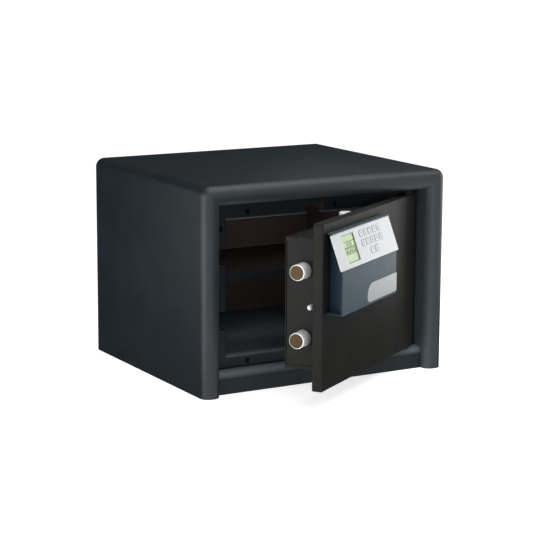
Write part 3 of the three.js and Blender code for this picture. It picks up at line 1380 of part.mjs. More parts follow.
function doorGroup() {
  const leaf = new THREE.Group();
  leaf.position.set(-HINGE_X, -HINGE_Y, 0);
  leaf.add(
    piece("door_plate", doorPlate(), "doorPaint"),
    piece("door_filling", doorFilling(), "fill"),
    piece("door_back_plate", doorBackPlate(), "doorPaint"),
    piece("hinge_bush_top", hingeBush(DOOR_TOP - HINGE_BUSH_LENGTH, DOOR_TOP), "bushPlastic"),
    piece("hinge_bush_bottom", hingeBush(DOOR_BOTTOM, DOOR_BOTTOM + HINGE_BUSH_LENGTH), "bushPlastic"),
    piece("lock_case", lockCase(), "doorPaint"),
    piece("lock_case_cover", lockCaseCover(), "doorPaint"),
    piece("bolt_guide_upper", boltGuide(SIDE_BOLT_UPPER_Z), "bushPlastic"),
    piece("bolt_guide_lower", boltGuide(SIDE_BOLT_LOWER_Z), "bushPlastic"),
    piece("bolt_guide_top", topBoltGuide(), "bushPlastic"),
    piece("side_bolt_upper", sideBolt(SIDE_BOLT_UPPER_Z), "boltSteel"),
    piece("side_bolt_lower", sideBolt(SIDE_BOLT_LOWER_Z), "boltSteel"),
    piece("bolt_bar", boltBar(), "zincSteel"),
    piece("top_bolt", topBolt(), "boltSteel"),
    piece("drive_gear", driveGear(), "gearBrass"),
    piece("gear_spindle", gearSpindle(), "zincSteel"),
    piece("gear_motor", gearMotor(), "zincSteel"),
    piece("motor_pinion", motorPinion(), "gearBrass"),
    piece("contact_plunger", contactPlunger(), "boltSteel"),
    piece("contact_guide", contactGuide(), "bushPlastic"),
    piece("lock_housing", lockHousing(), "housingPlastic"),
    piece("battery_cover", batteryCover(), "silverPlastic"),
    consoleGroup(),
  );
  batteryPlaces().forEach((place) => leaf.add(piece(place.name, battery(place), "cell")));
  const door = new THREE.Group();
  door.position.set(HINGE_X, HINGE_Y, 0);
  door.rotation.z = THREE.MathUtils.degToRad(DOOR_OPEN_DEGREES);
  door.add(leaf);
  return door;
}

const safe = new THREE.Group();
safe.name = "home_safe";
safe.add(cabinetGroup(), doorGroup());

export default safe;
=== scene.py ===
# %% [markdown]
# # An electronic home safe
# The safe is a folded steel cabinet with a soft, rounded border round its opening. Its door hangs on two
# pins, carries a lock case with chrome bolts on its back, and a plastic keypad housing on its front.
# The imported model gives every piece its real place, so this lesson only makes the surfaces finer and
# gives each of them its finish. The frame is loaded first.

# %% Load the frame
import json
import math
from functools import partial

import bmesh
import bpy
import numpy as np
from mathutils import Matrix, Vector

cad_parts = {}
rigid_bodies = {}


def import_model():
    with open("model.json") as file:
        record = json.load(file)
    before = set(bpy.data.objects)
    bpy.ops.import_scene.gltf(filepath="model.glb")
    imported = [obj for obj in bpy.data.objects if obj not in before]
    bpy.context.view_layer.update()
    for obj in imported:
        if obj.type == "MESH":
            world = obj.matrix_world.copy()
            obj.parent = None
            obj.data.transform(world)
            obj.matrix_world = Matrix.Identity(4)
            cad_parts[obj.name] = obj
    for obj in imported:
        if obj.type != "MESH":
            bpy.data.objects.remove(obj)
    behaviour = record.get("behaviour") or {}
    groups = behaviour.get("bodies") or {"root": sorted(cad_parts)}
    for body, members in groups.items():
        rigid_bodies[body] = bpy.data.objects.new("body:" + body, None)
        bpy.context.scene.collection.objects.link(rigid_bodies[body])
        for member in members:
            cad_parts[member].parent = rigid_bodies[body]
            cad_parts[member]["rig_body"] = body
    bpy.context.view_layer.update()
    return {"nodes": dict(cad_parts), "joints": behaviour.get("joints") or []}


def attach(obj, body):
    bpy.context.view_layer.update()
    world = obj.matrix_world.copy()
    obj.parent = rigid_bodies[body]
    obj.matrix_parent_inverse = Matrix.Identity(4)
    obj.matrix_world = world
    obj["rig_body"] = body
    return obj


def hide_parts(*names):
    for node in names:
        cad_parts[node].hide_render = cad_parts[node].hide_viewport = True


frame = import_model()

NODES = frame["nodes"]
MM = 0.001

# %% [markdown]
# ## Millimetres, and a door that stands open
# A maker reads drawings in millimetres, so all points below are arrays in millimetres, and they turn into
# metres only when a mesh is made. The door is easier to draw shut, square to the axes, than standing open.
# So the nodes that ride on it are measured as if it were shut, its pieces are drawn shut, and then they
# are swung about the hinge by the angle that the frame's joint gives.

# %% Points of a node, and the swing of the door
def joint_named(name):
    return next(joint for joint in frame["joints"] if joint["name"] == name)


HINGE = np.array(joint_named("door_hinge")["pos_m"]) / MM
OPEN_ANGLE = math.radians(-joint_named("door_hinge")["range_deg"][0])


def turned(points, angle):
    """Turns points about the hinge: x' = x cos - y sin and y' = x sin + y cos, both measured from it."""
    c, s = math.cos(angle), math.sin(angle)
    turn = np.array([[c, -s, 0], [s, c, 0], [0, 0, 1]])
    return (points - HINGE) @ turn.T + HINGE


def mesh_points(mesh):
    """All corner points of a mesh in mm, one row per point."""
    flat = np.empty(len(mesh.vertices) * 3, np.float32)
    mesh.vertices.foreach_get("co", flat)
    return flat.reshape(-1, 3).astype(float) / MM


def points_of(node):
    """Points of a node, with the door shut for a node that rides on it."""
    points = mesh_points(NODES[node].data)
    return points if NODES[node]["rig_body"] == "cabinet" else turned(points, -OPEN_ANGLE)


def box_of(node):
    """Lowest and highest corner of a node."""
    points = points_of(node)
    return points.min(0), points.max(0)


print("the door stands open by", round(math.degrees(OPEN_ANGLE), 1), "degrees")

# %% [markdown]
# ## Surfaces from grids of points
# Sheet metal and turned steel are both a profile carried along a path, straight, bent or round. Such a
# surface is a grid of points: one row for each station of the path, one column for each point of the
# profile. Modelling by hand with extrude and loop cuts would give the same shape, but a grid worked out
# with arrays keeps each radius a named number. A function joins the grid with four-sided faces.

# %% Grids and lofts
def ring_faces(rows, columns, close_rows=False):
    """Quads of a grid whose columns close on themselves: (r, c) joins (r, c+1), (r+1, c+1) and (r+1, c)."""
    r, c = np.meshgrid(np.arange(rows if close_rows else rows - 1), np.arange(columns), indexing="ij")
    up, across = (r + 1) % rows, (c + 1) % columns
    quads = [r * columns + c, r * columns + across, up * columns + across, up * columns + c]
    return np.stack(quads, -1).reshape(-1, 4).tolist()


def loft(rings):
    """Closed skin through rings of points (rows, columns, 3), with a flat cap on the first and last ring."""
    rows, columns = rings.shape[:2]
    caps = [list(range(columns))[::-1], list(range((rows - 1) * columns, rows * columns))]
    return rings.reshape(-1, 3), ring_faces(rows, columns) + caps


def between(outline, axis, start, end):
    """Prism: an outline in the two other axes, carried straight along one axis from start to end."""
    rings = np.empty((2, len(outline), 3))
    rings[:, :, [index for index in range(3) if index != axis]] = outline
    rings[:, :, axis] = np.array([[start], [end]])
    return loft(rings)


def lathe(profile, centre, axis, segments=96):
    """Turned piece: each (radius, height) of the profile goes round the axis as radius * (cos, sin)."""
    first, second = [index for index in range(3) if index != axis]
    angles = np.linspace(0, 2 * math.pi, segments, endpoint=False)
    rings = np.empty((len(profile), segments, 3))
    rings[:, :, first] = centre[first] + profile[:, :1] * np.cos(angles)
    rings[:, :, second] = centre[second] + profile[:, :1] * np.sin(angles)
    rings[:, :, axis] = centre[axis] + profile[:, 1:]
    return rings


print("a closed band of 3 rows and 4 columns has", len(ring_faces(3, 4)), "faces")

# %% Arcs and outlines
def arc(centre, radius, start, end, steps=8):
    """Points of a circle round a centre, from one angle to another in degrees."""
    angles = np.radians(np.linspace(start, end, steps + 1))
    return np.stack([centre[0] + radius * np.cos(angles), centre[1] + radius * np.sin(angles)], 1)


def rounded_rectangle(half_width, half_height, radius, steps=6):
    """Outline about the origin: each corner is a quarter circle whose centre lies one radius in."""
    signs = np.array([[1, 1], [-1, 1], [-1, -1], [1, -1]])
    angles = np.linspace(0, math.pi / 2, steps + 1) + np.arange(4)[:, None] * math.pi / 2
    centres = signs * (np.array([half_width, half_height]) - radius)
    return (centres[:, None] + radius * np.stack([np.cos(angles), np.sin(angles)], -1)).reshape(-1, 2)


print("a quarter arc of radius 14 has its middle at", arc((0, 0), 14, 0, 90, 2)[1].round(2))

# %% [markdown]
# ## From arrays to meshes
# A mesh that closes at a pole or a sharp corner has points that lie on each other. They are merged first,
# and only then are the faces turned outwards, because the other order can leave a face turned in.
# Holes and notches are cut with a boolean against a cutter and kept as plain mesh. A small bevel catches
# the light on each edge, as paint and moulding do on the real pieces, and weighted normals keep flats flat.

# %% Make a mesh
def clean(mesh, merge=1e-6):
    """Merges points that lie on each other, then turns all faces outwards."""
    work = bmesh.new()
    work.from_mesh(mesh)
    bmesh.ops.remove_doubles(work, verts=work.verts, dist=merge)
    bmesh.ops.dissolve_degenerate(work, edges=work.edges, dist=merge)
    bmesh.ops.recalc_face_normals(work, faces=work.faces)
    work.to_mesh(mesh)
    work.free()


def new_object(name, data):
    piece = bpy.data.objects.new(name, data)
    bpy.context.scene.collection.objects.link(piece)
    return piece


def make(name, *skins):
    """One object from one or more skins of (points in mm, faces)."""
    points = np.concatenate([skin[0] for skin in skins])
    starts = np.cumsum([0] + [len(skin[0]) for skin in skins[:-1]])
    faces = [[start + i for i in face] for start, skin in zip(starts, skins) for face in skin[1]]
    mesh = bpy.data.meshes.new(name)
    mesh.from_pydata((points * MM).tolist(), [], faces)
    clean(mesh)
    return new_object(name, mesh)


def make_on_door(name, *skins):
    """The same from skins that are drawn with the door shut."""
    return make(name, *[(turned(points, OPEN_ANGLE), faces) for points, faces in skins])


def tidy_copy(name, node):
    """Copy of a node as a clean mesh: loose triangles are merged and flat regions become single faces."""
    mesh = NODES[node].data.copy()
    work = bmesh.new()
    work.from_mesh(mesh)
    bmesh.ops.remove_doubles(work, verts=work.verts, dist=1e-6)
    bmesh.ops.dissolve_limit(work, angle_limit=math.radians(0.5), verts=work.verts, edges=work.edges)
    work.to_mesh(mesh)
    work.free()
    return new_object(name, mesh)


print("pieces come from", make.__name__, make_on_door.__name__, "and", tidy_copy.__name__)

# %% Cut, soften and dress a piece
def baked_mesh(piece):
    graph = bpy.context.evaluated_depsgraph_get()
    return bpy.data.meshes.new_from_object(piece.evaluated_get(graph))


def baked(piece):
    """Replaces the mesh by what its modifiers make of it."""
    mesh = baked_mesh(piece)
    piece.modifiers.clear()
    piece.data = mesh
    return piece


def carve(piece, cutter, operation="DIFFERENCE"):
    """Cuts or joins with another object, which is used up."""
    modifier = piece.modifiers.new("carve", "BOOLEAN")
    modifier.operation = operation
    modifier.object = cutter
    modifier.solver = "EXACT"
    baked(piece)
    bpy.data.objects.remove(cutter)
    clean(piece.data, merge=1e-7)
    return piece


def soften(piece, width, segments=2, angle=35):
    """Small round on every edge sharper than the angle, width in mm."""
    bevel = piece.modifiers.new("edges", "BEVEL")
    bevel.width = width * MM
    bevel.segments = segments
    bevel.limit_method = "ANGLE"
    bevel.angle_limit = math.radians(angle)
    bevel.miter_outer = "MITER_ARC"
    return piece


def dress(piece, body, slot, material, replaced=(), smooth=32):
    """Last step for a piece: shading, finish, the body that it rides on and the nodes that it stands for."""
    piece.data.shade_smooth()
    piece.data.set_sharp_from_angle(angle=math.radians(smooth))
    piece.data.materials.clear()
    piece.data.materials.append(material)
    piece.modifiers.new("shading", "WEIGHTED_NORMAL").keep_sharp = True
    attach(piece, body)
    if replaced:
        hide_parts(*replaced)
    return piece


print("pieces are finished with", carve.__name__, soften.__name__, "and", dress.__name__)

# %% [markdown]
# ## Finishes
# Each finish starts from how the real surface is made. A small function adds a shader node with its
# settings and links, and another turns a colour from its hex value to the linear values that a renderer
# mixes. Every pattern's scale comes from a size in millimetres.

# %% Helpers for materials
def linear(hex_colour):
    """sRGB to linear: c / 12.92 below 0.04045, and ((c + 0.055) / 1.055) to the power 2.4 above."""
    parts = [int(hex_colour[i : i + 2], 16) / 255 for i in (0, 2, 4)]
    return [c / 12.92 if c <= 0.04045 else ((c + 0.055) / 1.055) ** 2.4 for c in parts] + [1.0]


def add_node(tree, kind, inputs=None, stops=(), **settings):
    """Adds a shader node of a kind: its settings, its inputs, set or linked, and a ramp's (place, hex) stops.
    A node that is given as an input is linked by its first output."""
    node = tree.nodes.new("ShaderNode" + kind)
    for name, value in settings.items():
        setattr(node, name, value)
    for name, value in (inputs or {}).items():
        value = value.outputs[0] if isinstance(value, bpy.types.Node) else value
        if isinstance(value, bpy.types.NodeSocket):
            tree.links.new(value, node.inputs[name])
        else:
            node.inputs[name].default_value = value
    for element, (place, colour) in zip(node.color_ramp.elements if stops else (), stops):
        element.position = place
        element.color = linear(colour)
    return node


# Nearly all values of a fine noise lie between the first two, and those of a cloudy one between the others.
NOISE_LOW, NOISE_HIGH = 0.35, 0.65
CLOUD_LOW, CLOUD_HIGH = 0.3, 0.7


def new_material(name):
    """An empty material, add_node bound to its tree, and the object's own coordinates in metres."""
    material = bpy.data.materials.new(name)
    material.use_nodes = True
    material.node_tree.nodes.clear()
    add = partial(add_node, material.node_tree)
    return material, add, add("TexCoord").outputs["Object"]


def features(coords, size, detail=0.0):
    """Inputs of a pattern whose features measure this many mm."""
    return {"Vector": coords, "Scale": 1 / (size * MM), "Detail": detail}


print("an sRGB 808080 is", round(linear("808080")[0], 3), "in linear light")

# %% [markdown]
# ### Powder-coated steel
# The cabinet, the frame and the door are mild steel sheet, sprayed with polyester powder and baked. The
# powder melts into a satin film that stays faintly wavy, which makers call orange peel: waves of about
# 2 mm that blur reflections, with a much finer grain on top. The real grain is about 0.1 mm and would not
# show here, so it is drawn at 0.7 mm. The film is evenly coloured, with slow, faint changes of tone.
# An attribute on a sheet's own points mixes in a paler grey: a painted highlight on rounds and bends that
# the lamps leave too dark. One function makes every coat: the shell's is satin, the parts inside the opening
# are sprayed from further off and come out matt, the frame's tone is darker, painted shade, the sill's and
# the liner's are lighter, painted light, the liner floor's upward faces paler still, painted light, and the
# shelf's top is browner.

# %% Powder coat
TONE_SIZE, SHEEN_SIZE = 60, 9
ROUGHNESS_DRIFT = 0.05
PEEL_SIZE, PEEL_HEIGHT = 2.4, 0.04
GRAIN_SIZE, GRAIN_HEIGHT = 0.7, 0.01
# Paler grey that is mixed in as a painted highlight.
HIGHLIGHT_TONE = "5c6469"


def powder_coat(name, dark, light, roughness, gloss=0.5):
    """Two near tones and the paler grey of painted highlight, under a film with a slow change of sheen, waves
    and grain.
    """
    material, add, coords = new_material(name)
    tone = add("TexNoise", features(coords, TONE_SIZE, 3.0))
    colour = add("ValToRGB", {"Fac": tone}, ((NOISE_LOW, dark), (NOISE_HIGH, light)))
    # The attribute's share of the paler grey is a painted highlight.
    painted_highlight = add("Attribute", attribute_name="painted_highlight").outputs["Fac"]
    # A Mix node's sockets for colours have numbers: factor 0, first colour 6, second 7, and the result 2.
    coat = add("Mix", {0: painted_highlight, 6: colour, 7: linear(HIGHLIGHT_TONE)}, data_type="RGBA").outputs[2]
    sheen = add("TexNoise", features(coords, SHEEN_SIZE, 4.0))
    low, high = roughness - ROUGHNESS_DRIFT, roughness + ROUGHNESS_DRIFT
    rough = add("MapRange", {"Value": sheen, "To Min": low, "To Max": high})
    peel = add("TexNoise", features(coords, PEEL_SIZE, 1.0))
    waves = add("Bump", {"Height": peel, "Distance": PEEL_HEIGHT * MM})
    grain = add("TexNoise", features(coords, GRAIN_SIZE, 2.0))
    surface = add("Bump", {"Height": grain, "Distance": GRAIN_HEIGHT * MM, "Normal": waves})
    look = {"Base Color": coat, "Roughness": rough, "Normal": surface}
    shader = add("BsdfPrincipled", {**look, "IOR": 1.5, "Specular IOR Level": gloss})
    add("OutputMaterial", {"Surface": shader})
    return material


SHELL_PAINT = powder_coat("powder_coat_anthracite", "121b20", "161f25", 0.45)
DOOR_PAINT = powder_coat("powder_coat_black_grey", "161614", "1a1a17", 0.45, 0.16)
# Frame strips: a darker, matt copy of the shell's anthracite, painted shade for their place deep in the
# opening.
FRAME_SHADE_PAINT = powder_coat("powder_coat_anthracite_painted_shade", "0d151a", "10181d", 0.45, 0.2)
# Sill: a lighter, less glossy copy of the shell's anthracite, painted light.
SILL_LIGHTENED_PAINT = powder_coat("powder_coat_anthracite_painted_light", "161d21", "1a2226", 0.5, 0.15)
# Liner: its brown-black lifted to a lighter brown, painted light for its dim inside.
LINER_LIGHTENED_PAINT = powder_coat("powder_coat_brown_black_painted_light", "3d3330", "433834", 0.6, 0.2)
# The shelf's top faces get a browner paint than its other faces.
SHELF_TOP_PAINT = powder_coat("powder_coat_brown_shelf_top", "1f1817", "251d1c", 0.6, 0.2)
# Upward faces of the liner's floor: a paler grey, painted light.
FLOOR_PAINTED_LIGHT = powder_coat("powder_coat_grey_floor_painted_light", "3f484d", "4a5358", 0.6, 0.2)
SHELF_PAINT = powder_coat("powder_coat_matt_black", "1b2024", "20262a", 0.6, 0.1)
print("8 powder coats")

# %% [markdown]
# ### Bright and plated steel
# The bolts are turned steel, ground and chrome plated to a satin white: half mirror, half milk, so the
# metallic value is low and the colour near white. Their end faces get a brown steel: a painted reflection
# of something dark and brown, beside the bright rim. Bar and motor are zinc plated: greyer, and cloudy where
# crystals grew. The frame's screws have a dark zinc film, the hinge pins black oxide, and gears are brass.

# %% Metals
MARK_SIZE, MARK_DEPTH = 0.6, 0.01


def metal(name, dark, light, smooth, dull, cloud, metallic=1.0):
    """Metal whose tone and polish drift over patches of the cloud size in mm."""
    material, add, coords = new_material(name)
    patches = add("TexNoise", features(coords, cloud, 5.0))
    colour = add("ValToRGB", {"Fac": patches}, ((CLOUD_LOW, dark), (CLOUD_HIGH, light)))
    polish = {"From Min": CLOUD_LOW, "From Max": CLOUD_HIGH, "To Min": smooth, "To Max": dull}
    rough = add("MapRange", {"Value": patches, **polish})
    marks = add("TexNoise", features(coords, MARK_SIZE, 2.0))
    surface = add("Bump", {"Height": marks, "Distance": MARK_DEPTH * MM})
    look = {"Base Color": colour, "Metallic": metallic, "Roughness": rough, "Normal": surface}
    add("OutputMaterial", {"Surface": add("BsdfPrincipled", look)})
    return material


CHROME = metal("satin_chrome_plate", "f2f2f2", "fafafa", 0.3, 0.4, 4, 0.2)
# The bolts' end faces: brown, a painted reflection.
END_FACE_REFLECTION = metal("steel_painted_brown_reflection", "3f3529", "4d412d", 0.34, 0.42, 3)
ZINC = metal("zinc_plated_steel", "9da1a3", "b6babc", 0.28, 0.42, 6)
BLACK_OXIDE = metal("black_oxide_steel", "1c1e20", "2c2f32", 0.35, 0.5, 2)
DARK_ZINC = metal("dark_zinc_steel", "0b0d0e", "141617", 0.35, 0.5, 2)
BRASS = metal("cut_brass", "a9813f", "c2a063", 0.25, 0.4, 5)
print("6 metals")

# %% [markdown]
# ### Moulded plastics
# The housing is injection-moulded ABS in slate blue. Its mould was spark eroded, which leaves a fine
# leather-like grain that spreads highlights: really about 0.05 mm, drawn at 0.5 mm so that it shows. The
# walls towards the grip recess get a darker, bluer copy with less grain and little gloss: painted shade in
# the deep recess. The panel, the keys and the battery cover are the same plastic, sprayed with silver
# lacquer, in which metal flakes glitter a little; the cover's lacquer is a darker copy, painted shade. Bushes
# and guides are white acetal, the floor plugs are black polyethylene, and a black polyethylene lining of
# painted shade lines the display's window.

# %% Plastics
DRIFT_SIZE = 14
FLAKE_SIZE = 0.45


def moulded_plastic(name, dark, light, roughness, grain_size, grain_height, metallic=0.0, gloss=0.5):
    """Small cells of two near tones, a slow drift of sheen, and the grain of the mould."""
    material, add, coords = new_material(name)
    cells = add("TexVoronoi", features(coords, grain_size)).outputs["Color"]
    level = add("SeparateColor", {"Color": cells})
    colour = add("ValToRGB", {"Fac": level}, ((0.0, dark), (1.0, light)))
    drift = add("TexNoise", features(coords, DRIFT_SIZE, 3.0))
    low, high = roughness - ROUGHNESS_DRIFT, roughness + ROUGHNESS_DRIFT
    rough = add("MapRange", {"Value": drift, "To Min": low, "To Max": high})
    grain = add("TexNoise", features(coords, grain_size, 2.0))
    surface = add("Bump", {"Height": grain, "Distance": grain_height * MM})
    look = {"Base Color": colour, "Metallic": metallic, "Roughness": rough, "Normal": surface}
    shader = add("BsdfPrincipled", {**look, "IOR": 1.5, "Specular IOR Level": gloss})
    add("OutputMaterial", {"Surface": shader})
    return material


SLATE_ABS = moulded_plastic("spark_eroded_slate_abs", "34424b", "38464f", 0.42, 0.5, 0.015)
# Darker, bluer plastic for the walls towards the grip recess: painted shade.
SHADED_ABS = moulded_plastic("shaded_slate_abs", "172a35", "1a2e3a", 0.45, 0.5, 0.008, 0.0, 0.15)
SILVER_LACQUER = moulded_plastic("silver_lacquered_abs", "adafb0", "b9bbbc", 0.36, FLAKE_SIZE, 0.006, 0.25)
# The battery cover's lacquer: a darker copy of the silver, painted shade.
LID_SHADE_LACQUER = moulded_plastic("silver_lacquer_lid_painted_shade", "9c9e9f", "a8aaab", 0.36, FLAKE_SIZE, 0.006, 0.25)
ACETAL = moulded_plastic("white_acetal", "dcd8cc", "e8e4d9", 0.4, 0.8, 0.01)
POLYETHYLENE = moulded_plastic("black_polyethylene", "151515", "1c1c1c", 0.55, 0.8, 0.02)
CELL_WRAP = moulded_plastic("shrink_wrapped_cell", "5c6268", "6f757b", 0.25, 1.2, 0.01, 0.4)
CAST_MINERAL = moulded_plastic("cast_mineral_filling", "857f73", "a8a296", 0.9, 2.5, 0.4)
CIRCUIT_LAMINATE = moulded_plastic("solder_masked_laminate", "1b5230", "226338", 0.4, 1.5, 0.02)
print("9 plastics")

# %% [markdown]
# ### Display and print
# The display is a reflective liquid-crystal cell: a pale green mirror behind glass, on which the segments
# show as dark green-grey. Its glass is smooth, so it gets a clear coat. The characters on the keys are pad
# printed in grey, a matt film a few hundredths of a millimetre thick.

# %% Display glass, segments and ink
def coated(name, dark, light, roughness, coat, size):
    """Even film whose tone drifts between two near colours, under a clear coat."""
    material, add, coords = new_material(name)
    drift = add("TexNoise", features(coords, size, 2.0))
    colour = add("ValToRGB", {"Fac": drift}, ((NOISE_LOW, dark), (NOISE_HIGH, light)))
    look = {"Base Color": colour, "Roughness": roughness, "IOR": 1.5, "Coat Weight": coat}
    add("OutputMaterial", {"Surface": add("BsdfPrincipled", look)})
    return material


DISPLAY_GLASS = coated("liquid_crystal_reflector", "8aa46e", "90aa74", 0.4, 0.6, 20)
SEGMENTS = coated("liquid_crystal_segments", "1a2216", "242d1e", 0.5, 0.0, 4)
KEY_INK = coated("pad_printed_grey", "4a4f53", "555a5e", 0.6, 0.0, 3)
print("glass, segments and ink")

# %% [markdown]
# ## The cabinet's shell
# The shell is one folded sheet with a hollow, rounded border round the opening. Its section runs from the
# opening's wall round the bullnose, along the side to the rounded back edge and its lip, and back along
# the inside of the sheet. That section goes up the left side, over the top and down the right side. Each
# of its points lies a distance in from the outside, and at a corner it turns about a centre that lies one
# corner radius in, or its own distance if that is more, so that the border's inner edge meets at a mitre.
# The border's inner round is painted lighter towards the opening: a painted highlight that grows with the
# square of the way over the round. The closing side's foot has none.

# %% Section of the shell
SHEET = 2.0
BORDER_RADIUS, CORNER_RADIUS, BACK_RADIUS = 14.0, 14.5, 10.0
BACK_LIP = 7.0
SHELL_LOW, SHELL_HIGH = box_of("outer_shell")
SILL_LOW, SILL_HIGH = box_of("front_sill")
RING_LOW, RING_HIGH = box_of("frame_ring")
RING_Y = RING_LOW[1]
BORDER = SHELL_HIGH[0] - SILL_HIGH[0]


def shell_section():
    """Closed section as (distance in from the outside, y): outer skin, then the inner skin one sheet in."""
    nose, back = SHELL_LOW[1] + BORDER_RADIUS, SHELL_HIGH[1]
    by_mouth, by_side = (BORDER - BORDER_RADIUS, nose), (BORDER_RADIUS, nose)
    by_back = (BACK_RADIUS, back - BACK_RADIUS)
    inner, lip = BORDER_RADIUS - SHEET, BACK_RADIUS + BACK_LIP
    parts = [
        [[BORDER, RING_Y]],
        arc(by_mouth, BORDER_RADIUS, 0, -90, 12),
        arc(by_side, BORDER_RADIUS, -90, -180, 12),
        arc(by_back, BACK_RADIUS, 180, 90),
        [[lip, back], [lip, back - SHEET]],
        arc(by_back, BACK_RADIUS - SHEET, 90, 180),
        arc(by_side, inner, 180, 270, 12),
        arc(by_mouth, inner, -90, 0, 12),
        [[BORDER - SHEET, RING_Y]],
    ]
    return np.concatenate(parts)


print("border", BORDER.round(2), "mm wide, section of", len(shell_section()), "points")

# %% Shell
CORNER_STEPS = 14
# Most painted highlight on the border's inner round, at the opening.
MOUTH_HIGHLIGHT = 0.5


def carry_over_cabinet(section):
    """Carries a section up, over and down. A corner's radius is R - d, and its centre lies max(R, d) in."""
    distance, depth = section[:, 0], section[:, 1]
    radius = np.maximum(CORNER_RADIUS - distance, 0)
    centre = np.maximum(CORNER_RADIUS, distance)
    angles = np.radians(np.linspace(180, 90, CORNER_STEPS + 1))[:, None]
    x_corner = -SHELL_HIGH[0] + centre + radius * np.cos(angles)
    z_corner = SHELL_HIGH[2] - centre + radius * np.sin(angles)
    x_left = np.concatenate([[-SHELL_HIGH[0] + distance], x_corner])
    z_left = np.concatenate([[np.zeros_like(distance)], z_corner])
    x = np.concatenate([x_left, -x_left[::-1]])
    z = np.concatenate([z_left, z_left[::-1]])
    return np.stack([x, np.broadcast_to(depth, x.shape), z], -1)


def paint_highlight(piece, highlight_at):
    """Attribute of painted highlight, from 0 to 1, as a function of each point (x, y, z) in mm."""
    amount = piece.data.attributes.new("painted_highlight", "FLOAT", "POINT")
    amount.data.foreach_set("value", highlight_at(mesh_points(piece.data)).clip(0, 1).astype(np.float32))


# Painted highlight on the border's inner round.
def mouth_highlight(points):
    """Rises with the square of the way over the border's inner round: 0 at its crest, most at the opening."""
    x, z = points[:, 0], points[:, 2]
    distance = np.minimum(SHELL_HIGH[0] - np.abs(x), SHELL_HIGH[2] - z)
    way = ((distance - BORDER + BORDER_RADIUS) / BORDER_RADIUS).clip(0, 1)
    return np.where((x < 0) & (z < 1), 0, MOUTH_HIGHLIGHT * way**2)


shell = make("cabinet_shell", loft(carry_over_cabinet(shell_section())))
# Painted highlight towards the opening of the border.
paint_highlight(shell, mouth_highlight)
dress(shell, "cabinet", "shell_paint", SHELL_PAINT, ["outer_shell"], smooth=40)
print("shell", len(shell.data.polygons), "faces")

# %% [markdown]
# ## Sill, back and base
# The sill below the opening is a folded channel with one large round along its front. The back and the
# base are flat panels welded in. A flat panel needs no new surface: a tidy copy with a small bevel on its
# edges is enough. The sill's paint is a lighter, less glossy copy of the shell's, painted light, and a
# painted
# highlight lies on its top: 1 where the top meets the round, falling to 0 further down the front.

# %% Sill, back panel and base panel
SILL_RADIUS = 14.0
SILL_FLANGE = 22.0
# Painted highlight on the sill: full down to the first distance below its top, then fading to 0 over the
# second, in mm.
SILL_HIGHLIGHT_BAND, SILL_HIGHLIGHT_FADE = 4.0, 8.0


def sill_section():
    """Closed section as (y, z): outside from the foot up and over to the flange, and back inside."""
    front, rear, top = SILL_LOW[1], SILL_HIGH[1], SILL_HIGH[2]
    centre = (front + SILL_RADIUS, top - SILL_RADIUS)
    parts = [
        [[front, 0.0]],
        arc(centre, SILL_RADIUS, 180, 90, 12),
        arc((rear - SHEET, top - SHEET), SHEET, 90, 0, 4),
        [[rear, top - SILL_FLANGE], [rear - SHEET, top - SILL_FLANGE], [rear - SHEET, top - SHEET]],
        arc(centre, SILL_RADIUS - SHEET, 90, 180, 12),
        [[front + SHEET, 0.0]],
    ]
    return np.concatenate(parts)


sill = make("sill_channel", between(sill_section(), 0, SILL_LOW[0], SILL_HIGH[0]))
# Painted highlight along the sill's top.
paint_highlight(sill, lambda points: 1 + (points[:, 2] - SILL_HIGH[2] + SILL_HIGHLIGHT_BAND) / SILL_HIGHLIGHT_FADE)
dress(sill, "cabinet", "shell_paint", SILL_LIGHTENED_PAINT, ["front_sill"], smooth=40)
for node in ("back_panel", "base_panel"):
    panel = soften(tidy_copy(node + "_sheet", node), 0.5)
    dress(panel, "cabinet", "shell_paint", SHELL_PAINT, [node])
print("sill top at", SILL_HIGH[2], "mm")

# %% [markdown]
# ## The frame that the door closes on
# Four folded strips meet at mitred corners, and a thin dark line stays at each mitre. A strip is flat
# towards the front and bends back into the safe round a small radius. Each strip is its section carried
# along one side, and each point of the section stops at the corner plus its own distance out, which is
# what makes the mitre. The bolts swing in through notches, which are cut afterwards. A painted highlight
# lies on the long bends above and below the opening, and the strips' paint is a darker tone, painted shade.

# %% Frame ring
RING_SHEET, RING_BEND, RING_LIP = 2.0, 3.5, 14.0
MITRE_GAP = 0.15
RING_BAND_SIDE, RING_BAND_BOTTOM = 28.5, 19.5
RING_HALF = SILL_HIGH[0] - RING_BAND_SIDE
RING_TOP = SHELL_HIGH[2] - BORDER - RING_BAND_SIDE
RING_BOTTOM = SILL_HIGH[2] + RING_BAND_BOTTOM


def strip_section(reach):
    """Closed section as (distance out from the ring's opening, y)."""
    centre = (RING_BEND, RING_Y + RING_BEND)
    lip = RING_Y + RING_LIP
    outside = [[[reach, RING_Y]], arc(centre, RING_BEND, 270, 180), [[0.0, lip], [RING_SHEET, lip]]]
    inside = [arc(centre, RING_BEND - RING_SHEET, 180, 270, 6), [[reach, RING_Y + RING_SHEET]]]
    return np.concatenate(outside + inside)


def strip(reach, half_length):
    """A section carried along x: its ends lie at the half length plus the distance out, less the gap."""
    out, depth = strip_section(reach).T
    along = half_length + out - MITRE_GAP
    return np.stack([np.stack([-along, depth, out], -1), np.stack([along, depth, out], -1)])


def upright(rings, side):
    """Stands a strip up at the left (-1) or right (1) of the opening."""
    along, depth, out = np.moveaxis(rings, -1, 0)
    return np.stack([side * (RING_HALF + out), depth, (RING_TOP + RING_BOTTOM) / 2 + along], -1)


